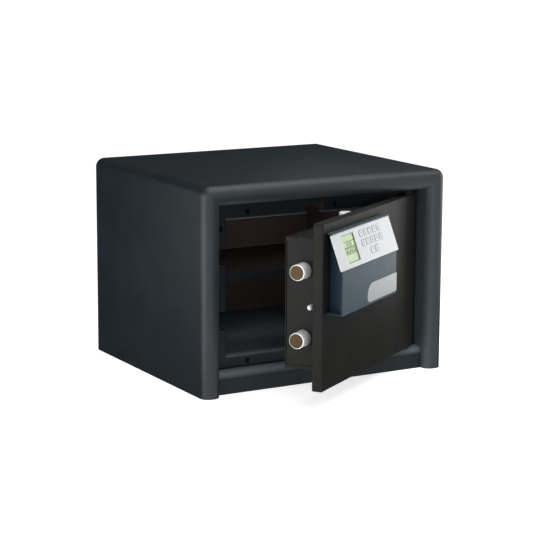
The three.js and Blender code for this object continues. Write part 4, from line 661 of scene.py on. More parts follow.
above = strip(RING_HIGH[2] - RING_TOP, RING_HALF) + [0, 0, RING_TOP]
below = strip(RING_BOTTOM - RING_LOW[2], RING_HALF) * [1, 1, -1] + [0, 0, RING_BOTTOM]
beside = strip(RING_HIGH[0] - RING_HALF, (RING_TOP - RING_BOTTOM) / 2)
ring = make("frame_ring_strips", *map(loft, (above, below, upright(beside, -1), upright(beside, 1))))
print("ring opening", 2 * RING_HALF, "by", RING_TOP - RING_BOTTOM, "mm")

# %% Plain cutters
PAST = 1.0  # how far a cutter reaches past what it cuts


def rectangle(low, high):
    return np.array([[low[0], low[1]], [high[0], low[1]], [high[0], high[1]], [low[0], high[1]]])


def block(low, high):
    """Box between two corners, in mm."""
    return between(rectangle(low, high), 2, low[2], high[2])


def rod(centre, radius, axis, start, end, segments=64):
    """Plain cylinder along an axis, whose ends are at start and end on that axis."""
    profile = np.array([[radius, start], [radius, end]])
    return loft(lathe(profile, centre * (np.arange(3) != axis), axis, segments))


def middle_of(node):
    return sum(box_of(node)) / 2


print("a block has", len(block((0, 0, 0), (1, 1, 1))[1]), "faces")

# %% Notches and holes of the frame
NOTCH_MARGIN = 3.0
SIDE_NOTCH_DEPTH = 18.5
TOP_NOTCH = (-18.0, 13.0, 17.5)  # left, right, height
LIP_HOLE_RADIUS, LIP_HOLE_X, LIP_HOLE_DEPTH = 1.6, 127.0, 8.0
LIP_CUT = 5.0
SCREW_GAP = 0.3
SCREW_HEAD = (4.0, 1.6)  # radius, height
SCREW_SHANK = (2.0, 12.0)
FRAME_SCREWS = ("frame_screw_top_left", "frame_screw_top_right", "frame_screw_left", "frame_screw_bottom")


def screw_seat(node):
    """Middle of a frame screw, on the face of the frame."""
    return np.where([False, True, False], RING_Y, middle_of(node))


front, rear = RING_Y - PAST, RING_Y + RING_LIP + PAST
left, right, rise = TOP_NOTCH
cutters = [block((left, front, RING_TOP - PAST), (right, rear, RING_TOP + rise))]
for node in ("side_bolt_upper", "side_bolt_lower"):
    low, high = box_of(node)
    deep = (-RING_HALF - SIDE_NOTCH_DEPTH, front, low[2] - NOTCH_MARGIN)
    cutters.append(block(deep, (-RING_HALF + PAST, rear, high[2] + NOTCH_MARGIN)))
for side in (-1, 1):
    centre = np.array([side * LIP_HOLE_X, RING_Y + LIP_HOLE_DEPTH, 0])
    cutters.append(rod(centre, LIP_HOLE_RADIUS, 2, RING_BOTTOM - LIP_CUT, RING_BOTTOM + PAST, 24))
mouth = np.array([SCREW_HEAD[0], SCREW_HEAD[0], SCREW_SHANK[0], SCREW_SHANK[0]]) + SCREW_GAP
sink = np.stack([mouth, [-PAST, 0, SCREW_HEAD[1], RING_SHEET + PAST]], 1)
cutters += [loft(lathe(sink, screw_seat(node), 1, 48)) for node in FRAME_SCREWS]
carve(ring, make("ring_cutters", *cutters))


# Painted highlight on the bends of the top and bottom strips.
def bend_highlight(points):
    """On the top and bottom strip: 1 at the edge of the opening, falling to 0 where the bend ends."""
    side, height = np.abs(points[:, 0]) - RING_HALF, points[:, 2]
    outward = np.maximum(RING_BOTTOM - height, height - RING_TOP)
    return np.where(side < outward, 1 - outward / RING_BEND, 0)


# Painted highlight on the long bends.
paint_highlight(ring, bend_highlight)
soften(ring, 0.2, angle=50)
dress(ring, "cabinet", "shell_paint", FRAME_SHADE_PAINT, ["frame_ring"])
print("frame ring", len(ring.data.polygons), "faces after", len(cutters), "cuts")

# %% [markdown]
# ## Liner, shelf, plugs and screws
# The liner is a sheet box behind the frame. The shelf is a sheet with a flange bent down along its front,
# and it rests on two small angles. Two plugs close the anchor holes in the floor. The frame screws are
# countersunk, with a hexagon socket, and stand flush. The liner keeps its packed form, in its brown-black
# lifted lighter, painted light, and the upward faces of its floor get a paler grey, painted light. The shelf
# is darker than the liner, and its top faces get a browner paint.

# %% Liner and shelf
SHELF_SHEET, SHELF_BEND, SHELF_FLANGE = 1.5, 2.2, 11.0
LINER_FLOOR = 60.0
FACING = 0.9  # a face looks along a direction if the cosine between them is more than this


def second_finish(piece, material, chosen):
    """Gives another material to the faces for which chosen(face) is true."""
    piece.data.materials.append(material)
    for face in piece.data.polygons:
        face.material_index = int(chosen(face))


# Upward faces of the liner's floor, which get the paler grey of painted light.
def is_floor_painted_light(face):
    return face.normal.z > FACING and face.center.z < LINER_FLOOR * MM


def shelf_section(low, high):
    """Closed section as (y, z): top face forward, round the bend and down, then back along the inside."""
    centre = (low[1] + SHELF_BEND, high[2] - SHELF_BEND)
    foot = high[2] - SHELF_FLANGE
    outside = [[[high[1], high[2]]], arc(centre, SHELF_BEND, 90, 180, 6)]
    edge = [[low[1], foot], [low[1] + SHELF_SHEET, foot]]
    inside = [arc(centre, SHELF_BEND - SHELF_SHEET, 180, 90, 6), [[high[1], high[2] - SHELF_SHEET]]]
    return np.concatenate([*outside, edge, *inside])


for node in ("inner_liner", "shelf_rail_left", "shelf_rail_right"):
    sheet = soften(tidy_copy(node + "_sheet", node), 0.25)
    # The liner's lifted brown is painted light.
    dress(sheet, "cabinet", "liner_paint", LINER_LIGHTENED_PAINT, [node])
    second_finish(sheet, FLOOR_PAINTED_LIGHT, is_floor_painted_light)
low, high = box_of("shelf")
shelf = soften(make("shelf_sheet", between(shelf_section(low, high), 0, low[0], high[0])), 0.2, angle=50)
dress(shelf, "cabinet", "liner_paint", SHELF_PAINT, ["shelf"])
# Top faces of the shelf take the browner paint.
second_finish(shelf, SHELF_TOP_PAINT, lambda face: face.normal.z > FACING)
print("shelf", round(high[0] - low[0]), "by", round(high[1] - low[1]), "mm")

# %% Plugs and screws
PLUG_HEAD, PLUG_STEM, PLUG_ROUND = 3.0, 6.7, 1.5
PLUG_DISH = (5.0, 6.0, 0.4)  # where its slope starts and ends, in from the rim, and its depth
SCREW_EDGE = 0.3
SOCKET = (1.6, 1.0)  # radius, depth

for node in ("anchor_plug_left", "anchor_plug_right"):
    low, high = box_of(node)
    radius = (high[0] - low[0]) / 2
    stem = [[PLUG_STEM, low[2] - high[2] + PLUG_HEAD], [PLUG_STEM, 0], [radius, 0]]
    crown = arc((radius - PLUG_ROUND, PLUG_HEAD - PLUG_ROUND), PLUG_ROUND, 0, 90, 6)
    dish = [[radius - PLUG_DISH[0], PLUG_HEAD], [radius - PLUG_DISH[1], PLUG_HEAD - PLUG_DISH[2]]]
    place = middle_of(node) * [1, 1, 0] + [0, 0, high[2] - PLUG_HEAD]
    plug = make(node + "_cap", loft(lathe(np.concatenate([stem, crown, dish]), place, 2)))
    dress(plug, "cabinet", "plug_plastic", POLYETHYLENE, [node])

for node in FRAME_SCREWS:
    rim = [[SCREW_HEAD[0] - SCREW_EDGE, 0], [SCREW_HEAD[0], SCREW_EDGE]]
    profile = np.array(rim + [[SCREW_SHANK[0], SCREW_HEAD[1]], SCREW_SHANK])
    screw = make(node + "_body", loft(lathe(profile, screw_seat(node), 1, 48)))
    socket = np.array([[SOCKET[0], -PAST], SOCKET])
    carve(screw, make("socket", loft(lathe(socket, screw_seat(node), 1, 6))))
    dress(screw, "cabinet", "screw_steel", DARK_ZINC, [node])
print("2 plugs and", len(FRAME_SCREWS), "screws")

# %% [markdown]
# ## The door
# The door is a shallow tray with rounded edges, filled and closed by a sheet behind. The tray is one loft of
# rounded rectangles: it starts on its inner floor, climbs to the rim, turns over it, runs to the front and
# goes round the edge onto the face. Blackened pins reach into white bushes at top and bottom.

# %% Door tray and back sheet
DOOR_SKIN, DOOR_EDGE = 3.0, 2.0
DOOR_CORNER, LEAST_CORNER = 2.5, 0.5
INNER_EDGE, OUTER_EDGE = 0.3, 0.5
BUSH_DEPTH, BUSH_GAP = 14.3, 0.3
CABLE_HOLE = np.array([-60.0, 0.0, 200.0])
CABLE_HOLE_RADIUS = 6.0

DOOR_LOW, DOOR_HIGH = box_of("door_plate")


def door_ring(inset, y):
    """Rounded rectangle in the plane of the door, moved in by an inset."""
    half = (DOOR_HIGH - DOOR_LOW) / 2 - inset
    outline = rounded_rectangle(half[0], half[2], max(DOOR_CORNER - inset, LEAST_CORNER))
    centre = (DOOR_HIGH + DOOR_LOW) / 2
    return np.stack([centre[0] + outline[:, 0], np.full(len(outline), y), centre[2] + outline[:, 1]], 1)


front, rear = DOOR_LOW[1], DOOR_HIGH[1]
stations = [(DOOR_SKIN, front + DOOR_SKIN), (DOOR_SKIN, rear - INNER_EDGE), (DOOR_SKIN - INNER_EDGE, rear)]
stations += [(OUTER_EDGE, rear), (0, rear - OUTER_EDGE)]
stations += list(arc((DOOR_EDGE, front + DOOR_EDGE), DOOR_EDGE, 180, 270, 6))
tray = make_on_door("door_tray", loft(np.stack([door_ring(inset, y) for inset, y in stations])))
bush_radius = box_of("hinge_bush_top")[1][0] - HINGE[0] + BUSH_GAP
holes = [
    rod(HINGE, bush_radius, 2, DOOR_HIGH[2] - BUSH_DEPTH, DOOR_HIGH[2] + PAST),
    rod(HINGE, bush_radius, 2, DOOR_LOW[2] - PAST, DOOR_LOW[2] + BUSH_DEPTH),
    rod(CABLE_HOLE, CABLE_HOLE_RADIUS, 1, front - PAST, front + DOOR_SKIN + PAST),
]
carve(tray, make_on_door("door_cutters", *holes))
dress(tray, "door", "door_paint", DOOR_PAINT, ["door_plate"])
back_sheet = soften(tidy_copy("door_back_sheet", "door_back_plate"), 0.3)
dress(back_sheet, "door", "door_paint", DOOR_PAINT, ["door_back_plate"])
print("door", (DOOR_HIGH - DOOR_LOW).round(1), "mm")

# %% Hinge pins and bushes
BUSH_WALL, BUSH_EDGE = 1.4, 0.2
PIN_CHAMFER = 0.5


def both_ends(end, length):
    """Half section of a bar from that of its foot: its head is the foot's mirror image, one length away."""
    end = np.array(end)
    return np.concatenate([end, [0, length] + end[::-1] * [1, -1]])


def chamfered(radius, length, chamfer):
    return both_ends([[radius - chamfer, 0], [radius, chamfer]], length)


for node in ("hinge_pin_top", "hinge_pin_bottom"):
    low, high = box_of(node)
    profile = chamfered((high[0] - low[0]) / 2, high[2] - low[2], PIN_CHAMFER)
    pin = make(node + "_turned", loft(lathe(profile, HINGE * [1, 1, 0] + [0, 0, low[2]], 2, 48)))
    dress(pin, "cabinet", "screw_steel", BLACK_OXIDE, [node])

for node in ("hinge_bush_top", "hinge_bush_bottom"):
    low, high = box_of(node)
    outer = high[0] - HINGE[0]
    inner, edge = outer - BUSH_WALL, BUSH_EDGE
    end = [[inner, edge], [inner + edge, 0], [outer - edge, 0], [outer, edge]]
    profile = both_ends(end, high[2] - low[2])
    rings = lathe(profile, HINGE * [1, 1, 0] + [0, 0, low[2]], 2, 48)
    bush = make_on_door(node + "_ring", (rings.reshape(-1, 3), ring_faces(*rings.shape[:2], close_rows=True)))
    dress(bush, "door", "bush_plastic", ACETAL, [node])
print("bushes of radius", outer.round(2), "mm")

# %% [markdown]
# ## Lock case and bolts
# The case is a folded box with a folded cover on it, whose lips wrap round the ends. Round holes let the
# bolts out. The bolts are bars turned on a lathe: a flat end face, a small chamfer that shows as a bright
# rim, and a long plain cylinder. The end faces are the bar's only faces with more than four corners, which
# is how they are found for the brown of a painted reflection. The plunger is a domed pin that tells the
# lock when the door is shut.

# %% Lock case
SIDE_BOLTS = ("side_bolt_upper", "side_bolt_lower")
TOP_BOLT_X, TOP_BOLT_LENGTH = -2.0, 46.4
HOLE_CLEARANCE = 0.7
WALL_CUT = 3.0

case = tidy_copy("lock_case_box", "lock_case")
wall = box_of("lock_case")[0][0]
holes = []
for node in (*SIDE_BOLTS, "contact_plunger"):
    low, high = box_of(node)
    radius = (high[2] - low[2]) / 2 + HOLE_CLEARANCE
    holes.append(rod(middle_of(node), radius, 0, wall - PAST, wall + WALL_CUT))
carve(case, make_on_door("case_cutters", *holes))
dress(soften(case, 0.3), "door", "door_paint", DOOR_PAINT, ["lock_case"])

cover = tidy_copy("lock_case_cover_sheet", "lock_case_cover")
BOLT_Y = middle_of("side_bolt_upper")[1]
top_radius = box_of("top_bolt")[1][1] - BOLT_Y
top = box_of("lock_case_cover")[1][2]
centre = np.array([TOP_BOLT_X, BOLT_Y, 0])
hole = rod(centre, top_radius + HOLE_CLEARANCE, 2, top - WALL_CUT, top + PAST)
carve(cover, make_on_door("cover_cutter", hole))
dress(soften(cover, 0.8, segments=3), "door", "door_paint", DOOR_PAINT, ["lock_case_cover"])
print("case", len(case.data.polygons), "cover", len(cover.data.polygons), "faces")

# %% Bolts and plunger
CHAMFER = 0.9
RIM = 0.25
TOP_BOLT_COVER = 0.03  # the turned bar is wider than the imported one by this, so that it covers its facets


def bolt_profile(radius, length):
    """Half section of a chamfered bar, with a small round on each corner of its chamfer."""
    inner, outer = radius - CHAMFER, radius - RIM
    end = [[inner - RIM, 0], [inner + RIM / 2, RIM], [outer, CHAMFER - RIM / 2], [radius, CHAMFER + RIM]]
    return both_ends(end, length)


def lying_bar(node):
    """Radius and length of a bar that lies along the door, and the middle of its outer end."""
    low, high = box_of(node)
    return (high[2] - low[2]) / 2, high[0] - low[0], np.where([True, False, False], low, (low + high) / 2)


for node in SIDE_BOLTS:
    radius, length, end = lying_bar(node)
    bolt = make_on_door(node + "_turned", loft(lathe(bolt_profile(radius, length), end, 0)))
    dress(bolt, "bolt_work", "bolt_steel", CHROME, [node], smooth=25)
    # The end faces take the brown of a painted reflection.
    second_finish(bolt, END_FACE_REFLECTION, lambda face: len(face.vertices) > 4)

top_bolt = tidy_copy("top_bolt_turned", "top_bolt")
centre = np.array([TOP_BOLT_X, BOLT_Y, box_of("top_bolt")[1][2] - TOP_BOLT_LENGTH])
profile = bolt_profile(top_radius + TOP_BOLT_COVER, TOP_BOLT_LENGTH)
carve(top_bolt, make_on_door("top_bar", loft(lathe(profile, centre, 2))), "UNION")
dress(top_bolt, "top_bolt", "bolt_steel", CHROME, ["top_bolt"], smooth=25)

radius, length, end = lying_bar("contact_plunger")
profile = np.concatenate([arc((0, radius), radius, -90, 0, 16), [[radius, length]]])
plunger = make_on_door("contact_plunger_turned", loft(lathe(profile, end, 0, 64)))
dress(plunger, "contact_plunger", "bolt_steel", CHROME, ["contact_plunger"])
print("side bolts", SIDE_BOLTS, "top bolt radius", round(top_radius, 2))

# %% [markdown]
# ## The keypad housing
# The housing is a moulded box with an open grip recess at its left and a sloping seat for the panel. On the
# slope a place is given by x and by the distance down from the panel's head, and a depth counts inwards.
# The direction inwards is the direction in which the frame's key joints press.

# %% Places on the slope
PANEL_THICKNESS = 3.0
PANEL_LOW, PANEL_HIGH = box_of("keypad_panel")
press = np.array(joint_named("key_1_1_press")["axis"])
INWARD = turned(HINGE + press, -OPEN_ANGLE) - HINGE
DOWN = np.array([0, INWARD[2], -INWARD[1]])
PANEL_HEAD = np.array([0, PANEL_HIGH[1] - PANEL_THICKNESS * INWARD[1], PANEL_HIGH[2]])
PANEL_LENGTH = (PANEL_LOW[1] - PANEL_HEAD[1]) / DOWN[1]


def on_slope(outline, depth):
    """Point (x, s) at depth d: head + (x, 0, 0) + s * DOWN + d * INWARD."""
    return PANEL_HEAD + outline[:, :1] * [1, 0, 0] + outline[:, 1:] * DOWN + depth * INWARD


def slope_prism(outline, start, end):
    return loft(np.stack([on_slope(outline, start), on_slope(outline, end)]))


def slope_box(node):
    """Lowest and highest (x, s) of a node on the slope."""
    points = points_of(node)
    places = np.stack([points[:, 0], (points - PANEL_HEAD) @ DOWN], 1)
    return places.min(0), places.max(0)


def slope_rectangle(low, high, radius, grow=0.0):
    return (high + low) / 2 + rounded_rectangle(*((high - low) / 2 + grow), radius)


print("panel", round(PANEL_LENGTH, 2), "mm long, inward direction", INWARD.round(3))

# %% [markdown]
# The panel is a plate with a window for the display and one opening for each key. A key is a loft of
# rounded rectangles: its stem, the flange that keeps it in, and the cap, whose face is dished a little.

# %% Panel
PLATE_RADIUS = 1.2
WINDOW_MARGIN, WINDOW_RADIUS = 1.0, 0.6
KEY_SIZE = np.array([12.5, 9.0])
KEY_RADIUS, KEY_GAP = 1.5, 0.3
KEYS = [name for name in NODES if name.startswith("key_") and name.count("_") == 2]
key_middles = {node: sum(slope_box(node)) / 2 for node in KEYS}

low, high = slope_box("keypad_panel")
plate = slope_rectangle(np.array([low[0], 0]), np.array([high[0], PANEL_LENGTH]), PLATE_RADIUS)
panel = make_on_door("keypad_plate", slope_prism(plate, 0, PANEL_THICKNESS))
window_low, window_high = slope_box("display_module")
window_low, window_high = window_low + WINDOW_MARGIN, window_high - WINDOW_MARGIN
key_opening = rounded_rectangle(*(KEY_SIZE / 2 + KEY_GAP), KEY_RADIUS + KEY_GAP)
openings = [centre + key_opening for centre in key_middles.values()]
openings.append(slope_rectangle(window_low, window_high, WINDOW_RADIUS))
cutters = [slope_prism(opening, -PAST, PANEL_THICKNESS + PAST) for opening in openings]
carve(panel, make_on_door("panel_cutters", *cutters))
dress(soften(panel, 0.35, segments=3), "door", "silver_plastic", SILVER_LACQUER, ["keypad_panel"])
print("panel with", len(openings), "openings")

# %% Keys
KEY_PROUD, KEY_FLANGE = 0.8, 0.8
KEY_STEM, STEM_RADIUS, STEM_END = np.array([5.0, 5.0]), 0.4, 1.9
# The edge and the dished face: how much narrower, how much less corner radius, how deep below the top.
KEY_FACE = ((0, 0, 0.3), (0.2, 0.1, 0.1), (0.6, 0.3, 0), (1.6, 0.6, 0.05), (5, 1, 0.2))


def key_rings(centre):
    """Stem, flange and cap, from the inside to the dished face."""
    base = PANEL_THICKNESS + KEY_GAP
    shoulder, flange, flange_radius = base + KEY_FLANGE, KEY_SIZE + 2 * KEY_FLANGE, KEY_RADIUS + KEY_FLANGE
    loops = [(KEY_STEM, STEM_RADIUS, base + STEM_END), (KEY_STEM, STEM_RADIUS, shoulder)]
    loops += [(flange, flange_radius, shoulder), (flange, flange_radius, base), (KEY_SIZE, KEY_RADIUS, base)]
    loops += [(KEY_SIZE - less, KEY_RADIUS - rounder, deep - KEY_PROUD) for less, rounder, deep in KEY_FACE]
    rings = [on_slope(centre + rounded_rectangle(*size / 2, radius), depth) for size, radius, depth in loops]
    return np.stack(rings)


for node, centre in key_middles.items():
    key = make_on_door(node + "_cap", loft(key_rings(centre)))
    dress(key, node, "silver_plastic", SILVER_LACQUER, [node])
print(len(KEYS), "keys")

# %% [markdown]
# The battery cover is silver too. It sits in a recess of the housing's front and slides off to the right.
# Its upper left corner has a much larger round than the lower one.

# %% Housing and battery cover
COVER_LARGE, COVER_SMALL = 19.0, 9.0
COVER_SHEET = 2.7
TAB_X, TAB_Z = (8.8, 13.8), (165.5, 175.5)  # from the cover's left edge, and up from the ground
TAB_SINK = 0.2

low, high = box_of("battery_cover")
corners = [
    [[high[0], low[2]], [high[0], high[2]]],
    arc((low[0] + COVER_LARGE, high[2] - COVER_LARGE), COVER_LARGE, 90, 180, 16),
    arc((low[0] + COVER_SMALL, low[2] + COVER_SMALL), COVER_SMALL, 180, 270),
]
lid = make_on_door("battery_lid", between(np.concatenate(corners), 1, low[1], low[1] + COVER_SHEET))
baked(soften(lid, 0.5, segments=3, angle=50))
tab_start, tab_end = low[0] + np.array(TAB_X)
tab = block((tab_start, low[1] + COVER_SHEET - TAB_SINK, TAB_Z[0]), (tab_end, high[1], TAB_Z[1]))
carve(lid, make_on_door("battery_lid_tab", tab), "UNION")
# A darker copy of the silver lacquer on the cover: painted shade.
dress(lid, "battery_cover", "silver_plastic", LID_SHADE_LACQUER, ["battery_cover"])

housing = soften(tidy_copy("housing_moulding", "lock_housing"), 0.6, segments=3)
dress(housing, "door", "housing_plastic", SLATE_ABS, ["lock_housing"])
leftwards = Vector((-math.cos(OPEN_ANGLE), -math.sin(OPEN_ANGLE), 0))
# Faces towards the grip recess take the darker plastic: painted shade.
second_finish(housing, SHADED_ABS, lambda face: face.normal.dot(leftwards) > FACING)
print("battery cover", (high - low).round(1), "mm")

# %% [markdown]
# ## Display and characters
# The display is a glass block with a raised pane that fills the panel's window. A thin black lining on
# the window's walls is painted shade: it draws the dark line of shade at the window's edge. The picture has
# two thin lines and two rows of seven-segment figures between them. A segment is a bar with pointed ends,
# and a figure is the set of bars that are lit. The figures on the keys are printed, so they are letters of a
# plain typeface, made mesh.

# %% Display block and the lining of painted shade
DISPLAY_DEPTH = 1.5
PANE_GAP, PANE_END = 0.05, 0.5
LINING, LINING_GAP, LINING_SINK, LINING_FOOT = 0.35, 0.02, 0.35, 0.1

display = soften(tidy_copy("display_block", "display_module"), 0.3)
pane = slope_rectangle(window_low, window_high, WINDOW_RADIUS, -PANE_GAP)
pane = make_on_door("pane", slope_prism(pane, DISPLAY_DEPTH, PANEL_THICKNESS + PANE_END))
carve(baked(display), pane, "UNION")
dress(display, "door", "display_window", DISPLAY_GLASS, ["display_module"])

# A black lining on the window's walls: painted shade where the recess is dark.
outer = slope_rectangle(window_low, window_high, WINDOW_RADIUS, -LINING_GAP)
inner = slope_rectangle(window_low, window_high, WINDOW_RADIUS, -LINING)
near, far = LINING_SINK, DISPLAY_DEPTH + LINING_FOOT
rings = np.stack([on_slope(*loop) for loop in ((outer, near), (inner, near), (inner, far), (outer, far))])
lining = make_on_door("window_painted_shade_lining", (rings.reshape(-1, 3), ring_faces(4, len(outer), close_rows=True)))
dress(lining, "door", "plug_plastic", POLYETHYLENE)
print("window", (window_high - window_low).round(1), "mm")

# %% Lines and figures of the display
FILM = 0.04
LINE_INSET, LINE_WIDTH, LINES_DOWN = 1.2, 0.9, (10.0, 28.6)
SMALL_FIGURE, LARGE_FIGURE = (2.9, 4.4, 0.55), (5.4, 7.4, 0.9)  # width, height, half a bar's width
SMALL_X, SMALL_DOWN = (10, 15.2, 22, 27.2), 14.8
LARGE_SHARES, LARGE_DOWN = (0.17, 0.39, 0.61, 0.83), 22.8
LIT_BARS = {"0": "abcdef", "1": "bc", "2": "abdeg"}
# The six corners of a figure, row by row, and the two that each bar joins.
CORNERS = np.array([(-1, -1), (1, -1), (-1, 0), (1, 0), (-1, 1), (1, 1)]) / 2
BAR_ENDS = {"a": (0, 1), "b": (1, 3), "c": (3, 5), "d": (4, 5), "e": (2, 4), "f": (0, 2), "g": (2, 3)}


def film(outline):
    return slope_prism(outline, DISPLAY_DEPTH - FILM, DISPLAY_DEPTH + FILM)


def bar(start, end, half_width):
    """Hexagonal outline of a segment between two points, pointed at both ends."""
    along = (end - start) / np.linalg.norm(end - start) * half_width
    side = np.array([-along[1], along[0]])
    near, far = start + along, end - along
    return np.array([start, near + side, far + side, end, far - side, near - side])


def figure(digit, middle, width, height, half_width):
    """Films for the lit bars of a figure."""
    places = CORNERS * [width, height]
    return [film(middle + bar(*places[list(BAR_ENDS[lit])], half_width)) for lit in LIT_BARS[digit]]


across = window_high[0] - window_low[0]
marks = []
for s in LINES_DOWN:
    marks.append(film(window_low + rectangle((LINE_INSET, s), (across - LINE_INSET, s + LINE_WIDTH))))
for x, digit in zip(SMALL_X, "1200"):
    marks += figure(digit, window_low + [x, SMALL_DOWN], *SMALL_FIGURE)
for share, digit in zip(LARGE_SHARES, "0000"):
    marks += figure(digit, window_low + [share * across, LARGE_DOWN], *LARGE_FIGURE)
dress(make_on_door("display_segments", *marks), "door", "plug_plastic", SEGMENTS)
print("display with", len(marks), "dark shapes")

# %% Characters on the keys
LABELS = dict(zip(sorted(KEYS), "1234567890*#"))
TEXT_SIZE = 7.4
DISH = 0.17


def text_mesh(name, text):
    """A text as a flat mesh, a film thick, centred on the origin and facing +Z."""
    curve = bpy.data.curves.new(name, "FONT")
    curve.body = text
    curve.align_x = curve.align_y = "CENTER"
    curve.size = TEXT_SIZE * MM
    curve.extrude = FILM / 2 * MM
    holder = new_object(name, curve)
    mesh = baked_mesh(holder)
    bpy.data.objects.remove(holder)
    clean(mesh)
    return mesh


def laid_on_slope(mesh, place, depth):
    """Text's own x, y and z become across, up the slope and outwards, and then the door swings open."""
    points = mesh_points(mesh)
    laid = on_slope(points[:, :2] * [1, -1] + place, depth) - points[:, 2:] * INWARD
    mesh.vertices.foreach_set("co", (turned(laid, OPEN_ANGLE) * MM).astype(np.float32).ravel())
    mesh.update()
    return mesh


for node, label in LABELS.items():
    mesh = laid_on_slope(text_mesh(node + "_print", label), key_middles[node], DISH - KEY_PROUD)
    dress(new_object(node + "_print", mesh), node, "housing_plastic", KEY_INK)
print("keys read", "".join(LABELS.values()))

# %% [markdown]
# ## Inside the lock and behind the cover
# What lies inside the case, the housing and the walls keeps its packed surface and only gets its finish.
# The cells behind the battery cover show when it slides open, so they are turned like the bolts.

# %% Inner pieces
INNER_FINISHES = (
    (CAST_MINERAL, ("insulation_fill", "door_filling")),
    (CIRCUIT_LAMINATE, ("circuit_board",)),
    (ACETAL, ("bolt_guide_upper", "bolt_guide_lower", "bolt_guide_top", "contact_guide")),
    (ZINC, ("bolt_bar", "gear_spindle", "gear_motor")),
    (BRASS, ("drive_gear", "motor_pinion")),
)
CELLS = ("battery_1", "battery_2", "battery_3", "battery_4")
CELL_EDGE = 0.6
NUB_RADIUS, NUB_HEIGHT, NUB_EDGE = 2.0, 0.8, 0.2

for material, nodes in INNER_FINISHES:
    for slot in [slot for node in nodes for slot in NODES[node].material_slots]:
        slot.material = material

for node in CELLS:
    radius, length, end = lying_bar(node)
    body = length - NUB_HEIGHT
    nub = [[NUB_RADIUS, body], [NUB_RADIUS, length - NUB_EDGE], [NUB_RADIUS - NUB_EDGE, length]]
    profile = np.concatenate([chamfered(radius, body, CELL_EDGE), nub])
    cell = make_on_door(node + "_cell", loft(lathe(profile, end, 0, 48)))
    dress(cell, "door", "cell_wrap", CELL_WRAP, [node])
print(sum(len(nodes) for _, nodes in INNER_FINISHES), "inner pieces and", len(CELLS), "cells")

# %% [markdown]
# ## Floor, light and camera
# The safe stands on a plain white floor that runs past the edges of the picture and glows a little, so
# that it stays white where the safe shades it. Satin paint shows the room more than its own colour, and
# a white floor would grey every upright face, so the floor is kept out of reflections. The room is bright
# in front and dim behind: a smooth step over the direction, which leaves the side and the door dark and
# draws the bright line along the rounded border.
#
# A wide overhead light evens the floor, and a large box above and one at the left light the border, the
# bolts and the lock case. Two boxes light the silver panel and the battery cover. Two small, close ones
# hang over the front of the top and beside the front of the side, so that both faces grow lighter towards
# the border, and two more lift the inside above and below the shelf. None of them is seen by the camera.
# The camera stands well back with a long lens, so the safe's edges stay nearly parallel. Its place was
# fitted to the edges of the safe.

# %% Floor
FLOOR_HALF = 60.0
FLOOR_TONE_SIZE = 900
FLOOR_GLOW = 0.65

paint, add, coords = new_material("matt_white_floor")
drift = add("TexNoise", features(coords, FLOOR_TONE_SIZE, 3.0))
colour = add("ValToRGB", {"Fac": drift}, ((CLOUD_LOW, "f8f8f8"), (CLOUD_HIGH, "fbfbfb")))
look = {"Base Color": colour, "Roughness": 0.95, "Specular IOR Level": 0.1}
glow = {"Emission Color": linear("ffffff"), "Emission Strength": FLOOR_GLOW}
add("OutputMaterial", {"Surface": add("BsdfPrincipled", {**look, **glow})})

corners = np.array([[-1, -1, 0], [1, -1, 0], [1, 1, 0], [-1, 1, 0]]) * FLOOR_HALF
floor_mesh = bpy.data.meshes.new("studio_floor")
floor_mesh.from_pydata(corners.tolist(), [], [(0, 1, 2, 3)])
floor_mesh.materials.append(paint)
floor = new_object("studio_floor", floor_mesh)
floor.visible_glossy = False
print("floor", 2 * FLOOR_HALF, "m wide")

# %% Lamps
SUN_STRENGTH, SUN_WIDTH = 0.8, 90
SOFT_BOXES = {  # power in W, then size, place and target in m
    "top_box": (13.0, (1.4, 1.4), (0.3, -0.5, 1.4), (0.0, -0.15, 0.2)),
    "brow_box": (0.12, (0.3, 0.3), (0.22, 0.08, 0.62), (0.0, -0.17, 0.327)),
    "panel_box": (0.65, (0.25, 0.3), (0.62, -0.2, 0.36), (0.0, -0.28, 0.24)),
    "right_box": (0.18, (0.12, 0.18), (0.56, -0.18, 0.15), (0.05, -0.28, 0.22)),
    "left_box": (2.8, (0.6, 0.5), (-0.85, -0.28, 0.14), (-0.21, -0.2, 0.16)),
    "side_box": (0.38, (0.4, 0.4), (-0.62, 0.12, 0.24), (-0.22, -0.19, 0.2)),
    "upper_inside_box": (0.1, (0.26, 0.05), (0.0, -0.06, 0.23), (0.0, 0.15, 0.19)),
    "lower_inside_box": (0.05, (0.26, 0.05), (0.0, -0.06, 0.12), (0.0, 0.15, 0.1)),
}


def aimed(light, power, place, target):
    """A light at a place that points at a target, both in metres."""
    light.energy = power
    lamp = new_object(light.name, light)
    lamp.location = place
    lamp.rotation_euler = (Vector(target) - Vector(place)).to_track_quat("-Z", "Y").to_euler()
    lamp.visible_camera = False


sun = bpy.data.lights.new("overhead_light", "SUN")
sun.angle = math.radians(SUN_WIDTH)
aimed(sun, SUN_STRENGTH, (-0.1, -0.1, 1.0), (0, 0, 0))
for name, (power, size, place, target) in SOFT_BOXES.items():
    box = bpy.data.lights.new(name, "AREA")
    box.shape = "RECTANGLE"
    box.size, box.size_y = size
    aimed(box, power, place, target)
print("lamps", ["overhead_light", *SOFT_BOXES])

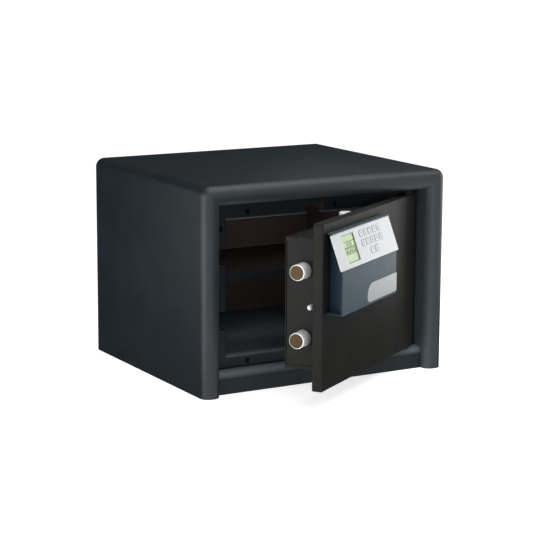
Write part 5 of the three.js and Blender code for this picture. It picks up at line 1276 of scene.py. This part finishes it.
# %% Room
BRIGHT_SIDE = Vector((-0.1, -1.0, -0.35))
DIM, BRIGHT = 0.03, 1.4
DIM_FROM, BRIGHT_FROM = -0.1, 0.8  # cosine of a direction's angle to the bright side

world = bpy.data.worlds.new("pale_studio")
bpy.context.scene.world = world
world.use_nodes = True
add = partial(add_node, world.node_tree)
towards = add("TexCoord").outputs["Generated"]
facing = add("VectorMath", {0: towards, 1: BRIGHT_SIDE.normalized()}, operation="DOT_PRODUCT")
step = {"From Min": DIM_FROM, "From Max": BRIGHT_FROM, "To Min": DIM, "To Max": BRIGHT}
glow = add("MapRange", {"Value": facing.outputs["Value"], **step}, interpolation_type="SMOOTHSTEP")
sky = world.node_tree.nodes["Background"]
sky.inputs["Color"].default_value = linear("eceef0")
world.node_tree.links.new(glow.outputs["Result"], sky.inputs["Strength"])
bpy.context.scene.view_settings.view_transform = "Standard"
print("the room is", DIM, "behind and", BRIGHT, "in front")

# %% Camera
LENS = 122.51
SENSOR = 36.0
YAW, PITCH, ROLL = -0.52276, 0.190988, 0.005054
DISTANCE = 3035.42
SIDEWAYS, UPWARDS = 5.98564, -10.67197
AIM = np.array([0, 0, 160.0])

back = np.array([math.sin(YAW) * math.cos(PITCH), -math.cos(YAW) * math.cos(PITCH), math.sin(PITCH)])
right = np.array([math.cos(YAW), math.sin(YAW), 0])
up = np.cross(back, right)
place = AIM + SIDEWAYS * right + UPWARDS * up + DISTANCE * back
rolled_right = math.cos(ROLL) * right + math.sin(ROLL) * up
rolled_up = math.cos(ROLL) * up - math.sin(ROLL) * right
view = np.eye(4)
view[:3, :4] = np.stack([rolled_right, rolled_up, back, place * MM], 1)
lens = bpy.data.cameras.new("studio_camera")
lens.lens = LENS
lens.sensor_width = SENSOR
lens.dof.use_dof = False
camera = new_object("studio_camera", lens)
camera.matrix_world = Matrix(view.tolist())
bpy.context.scene.camera = camera
print("camera", (place * MM).round(3), "m")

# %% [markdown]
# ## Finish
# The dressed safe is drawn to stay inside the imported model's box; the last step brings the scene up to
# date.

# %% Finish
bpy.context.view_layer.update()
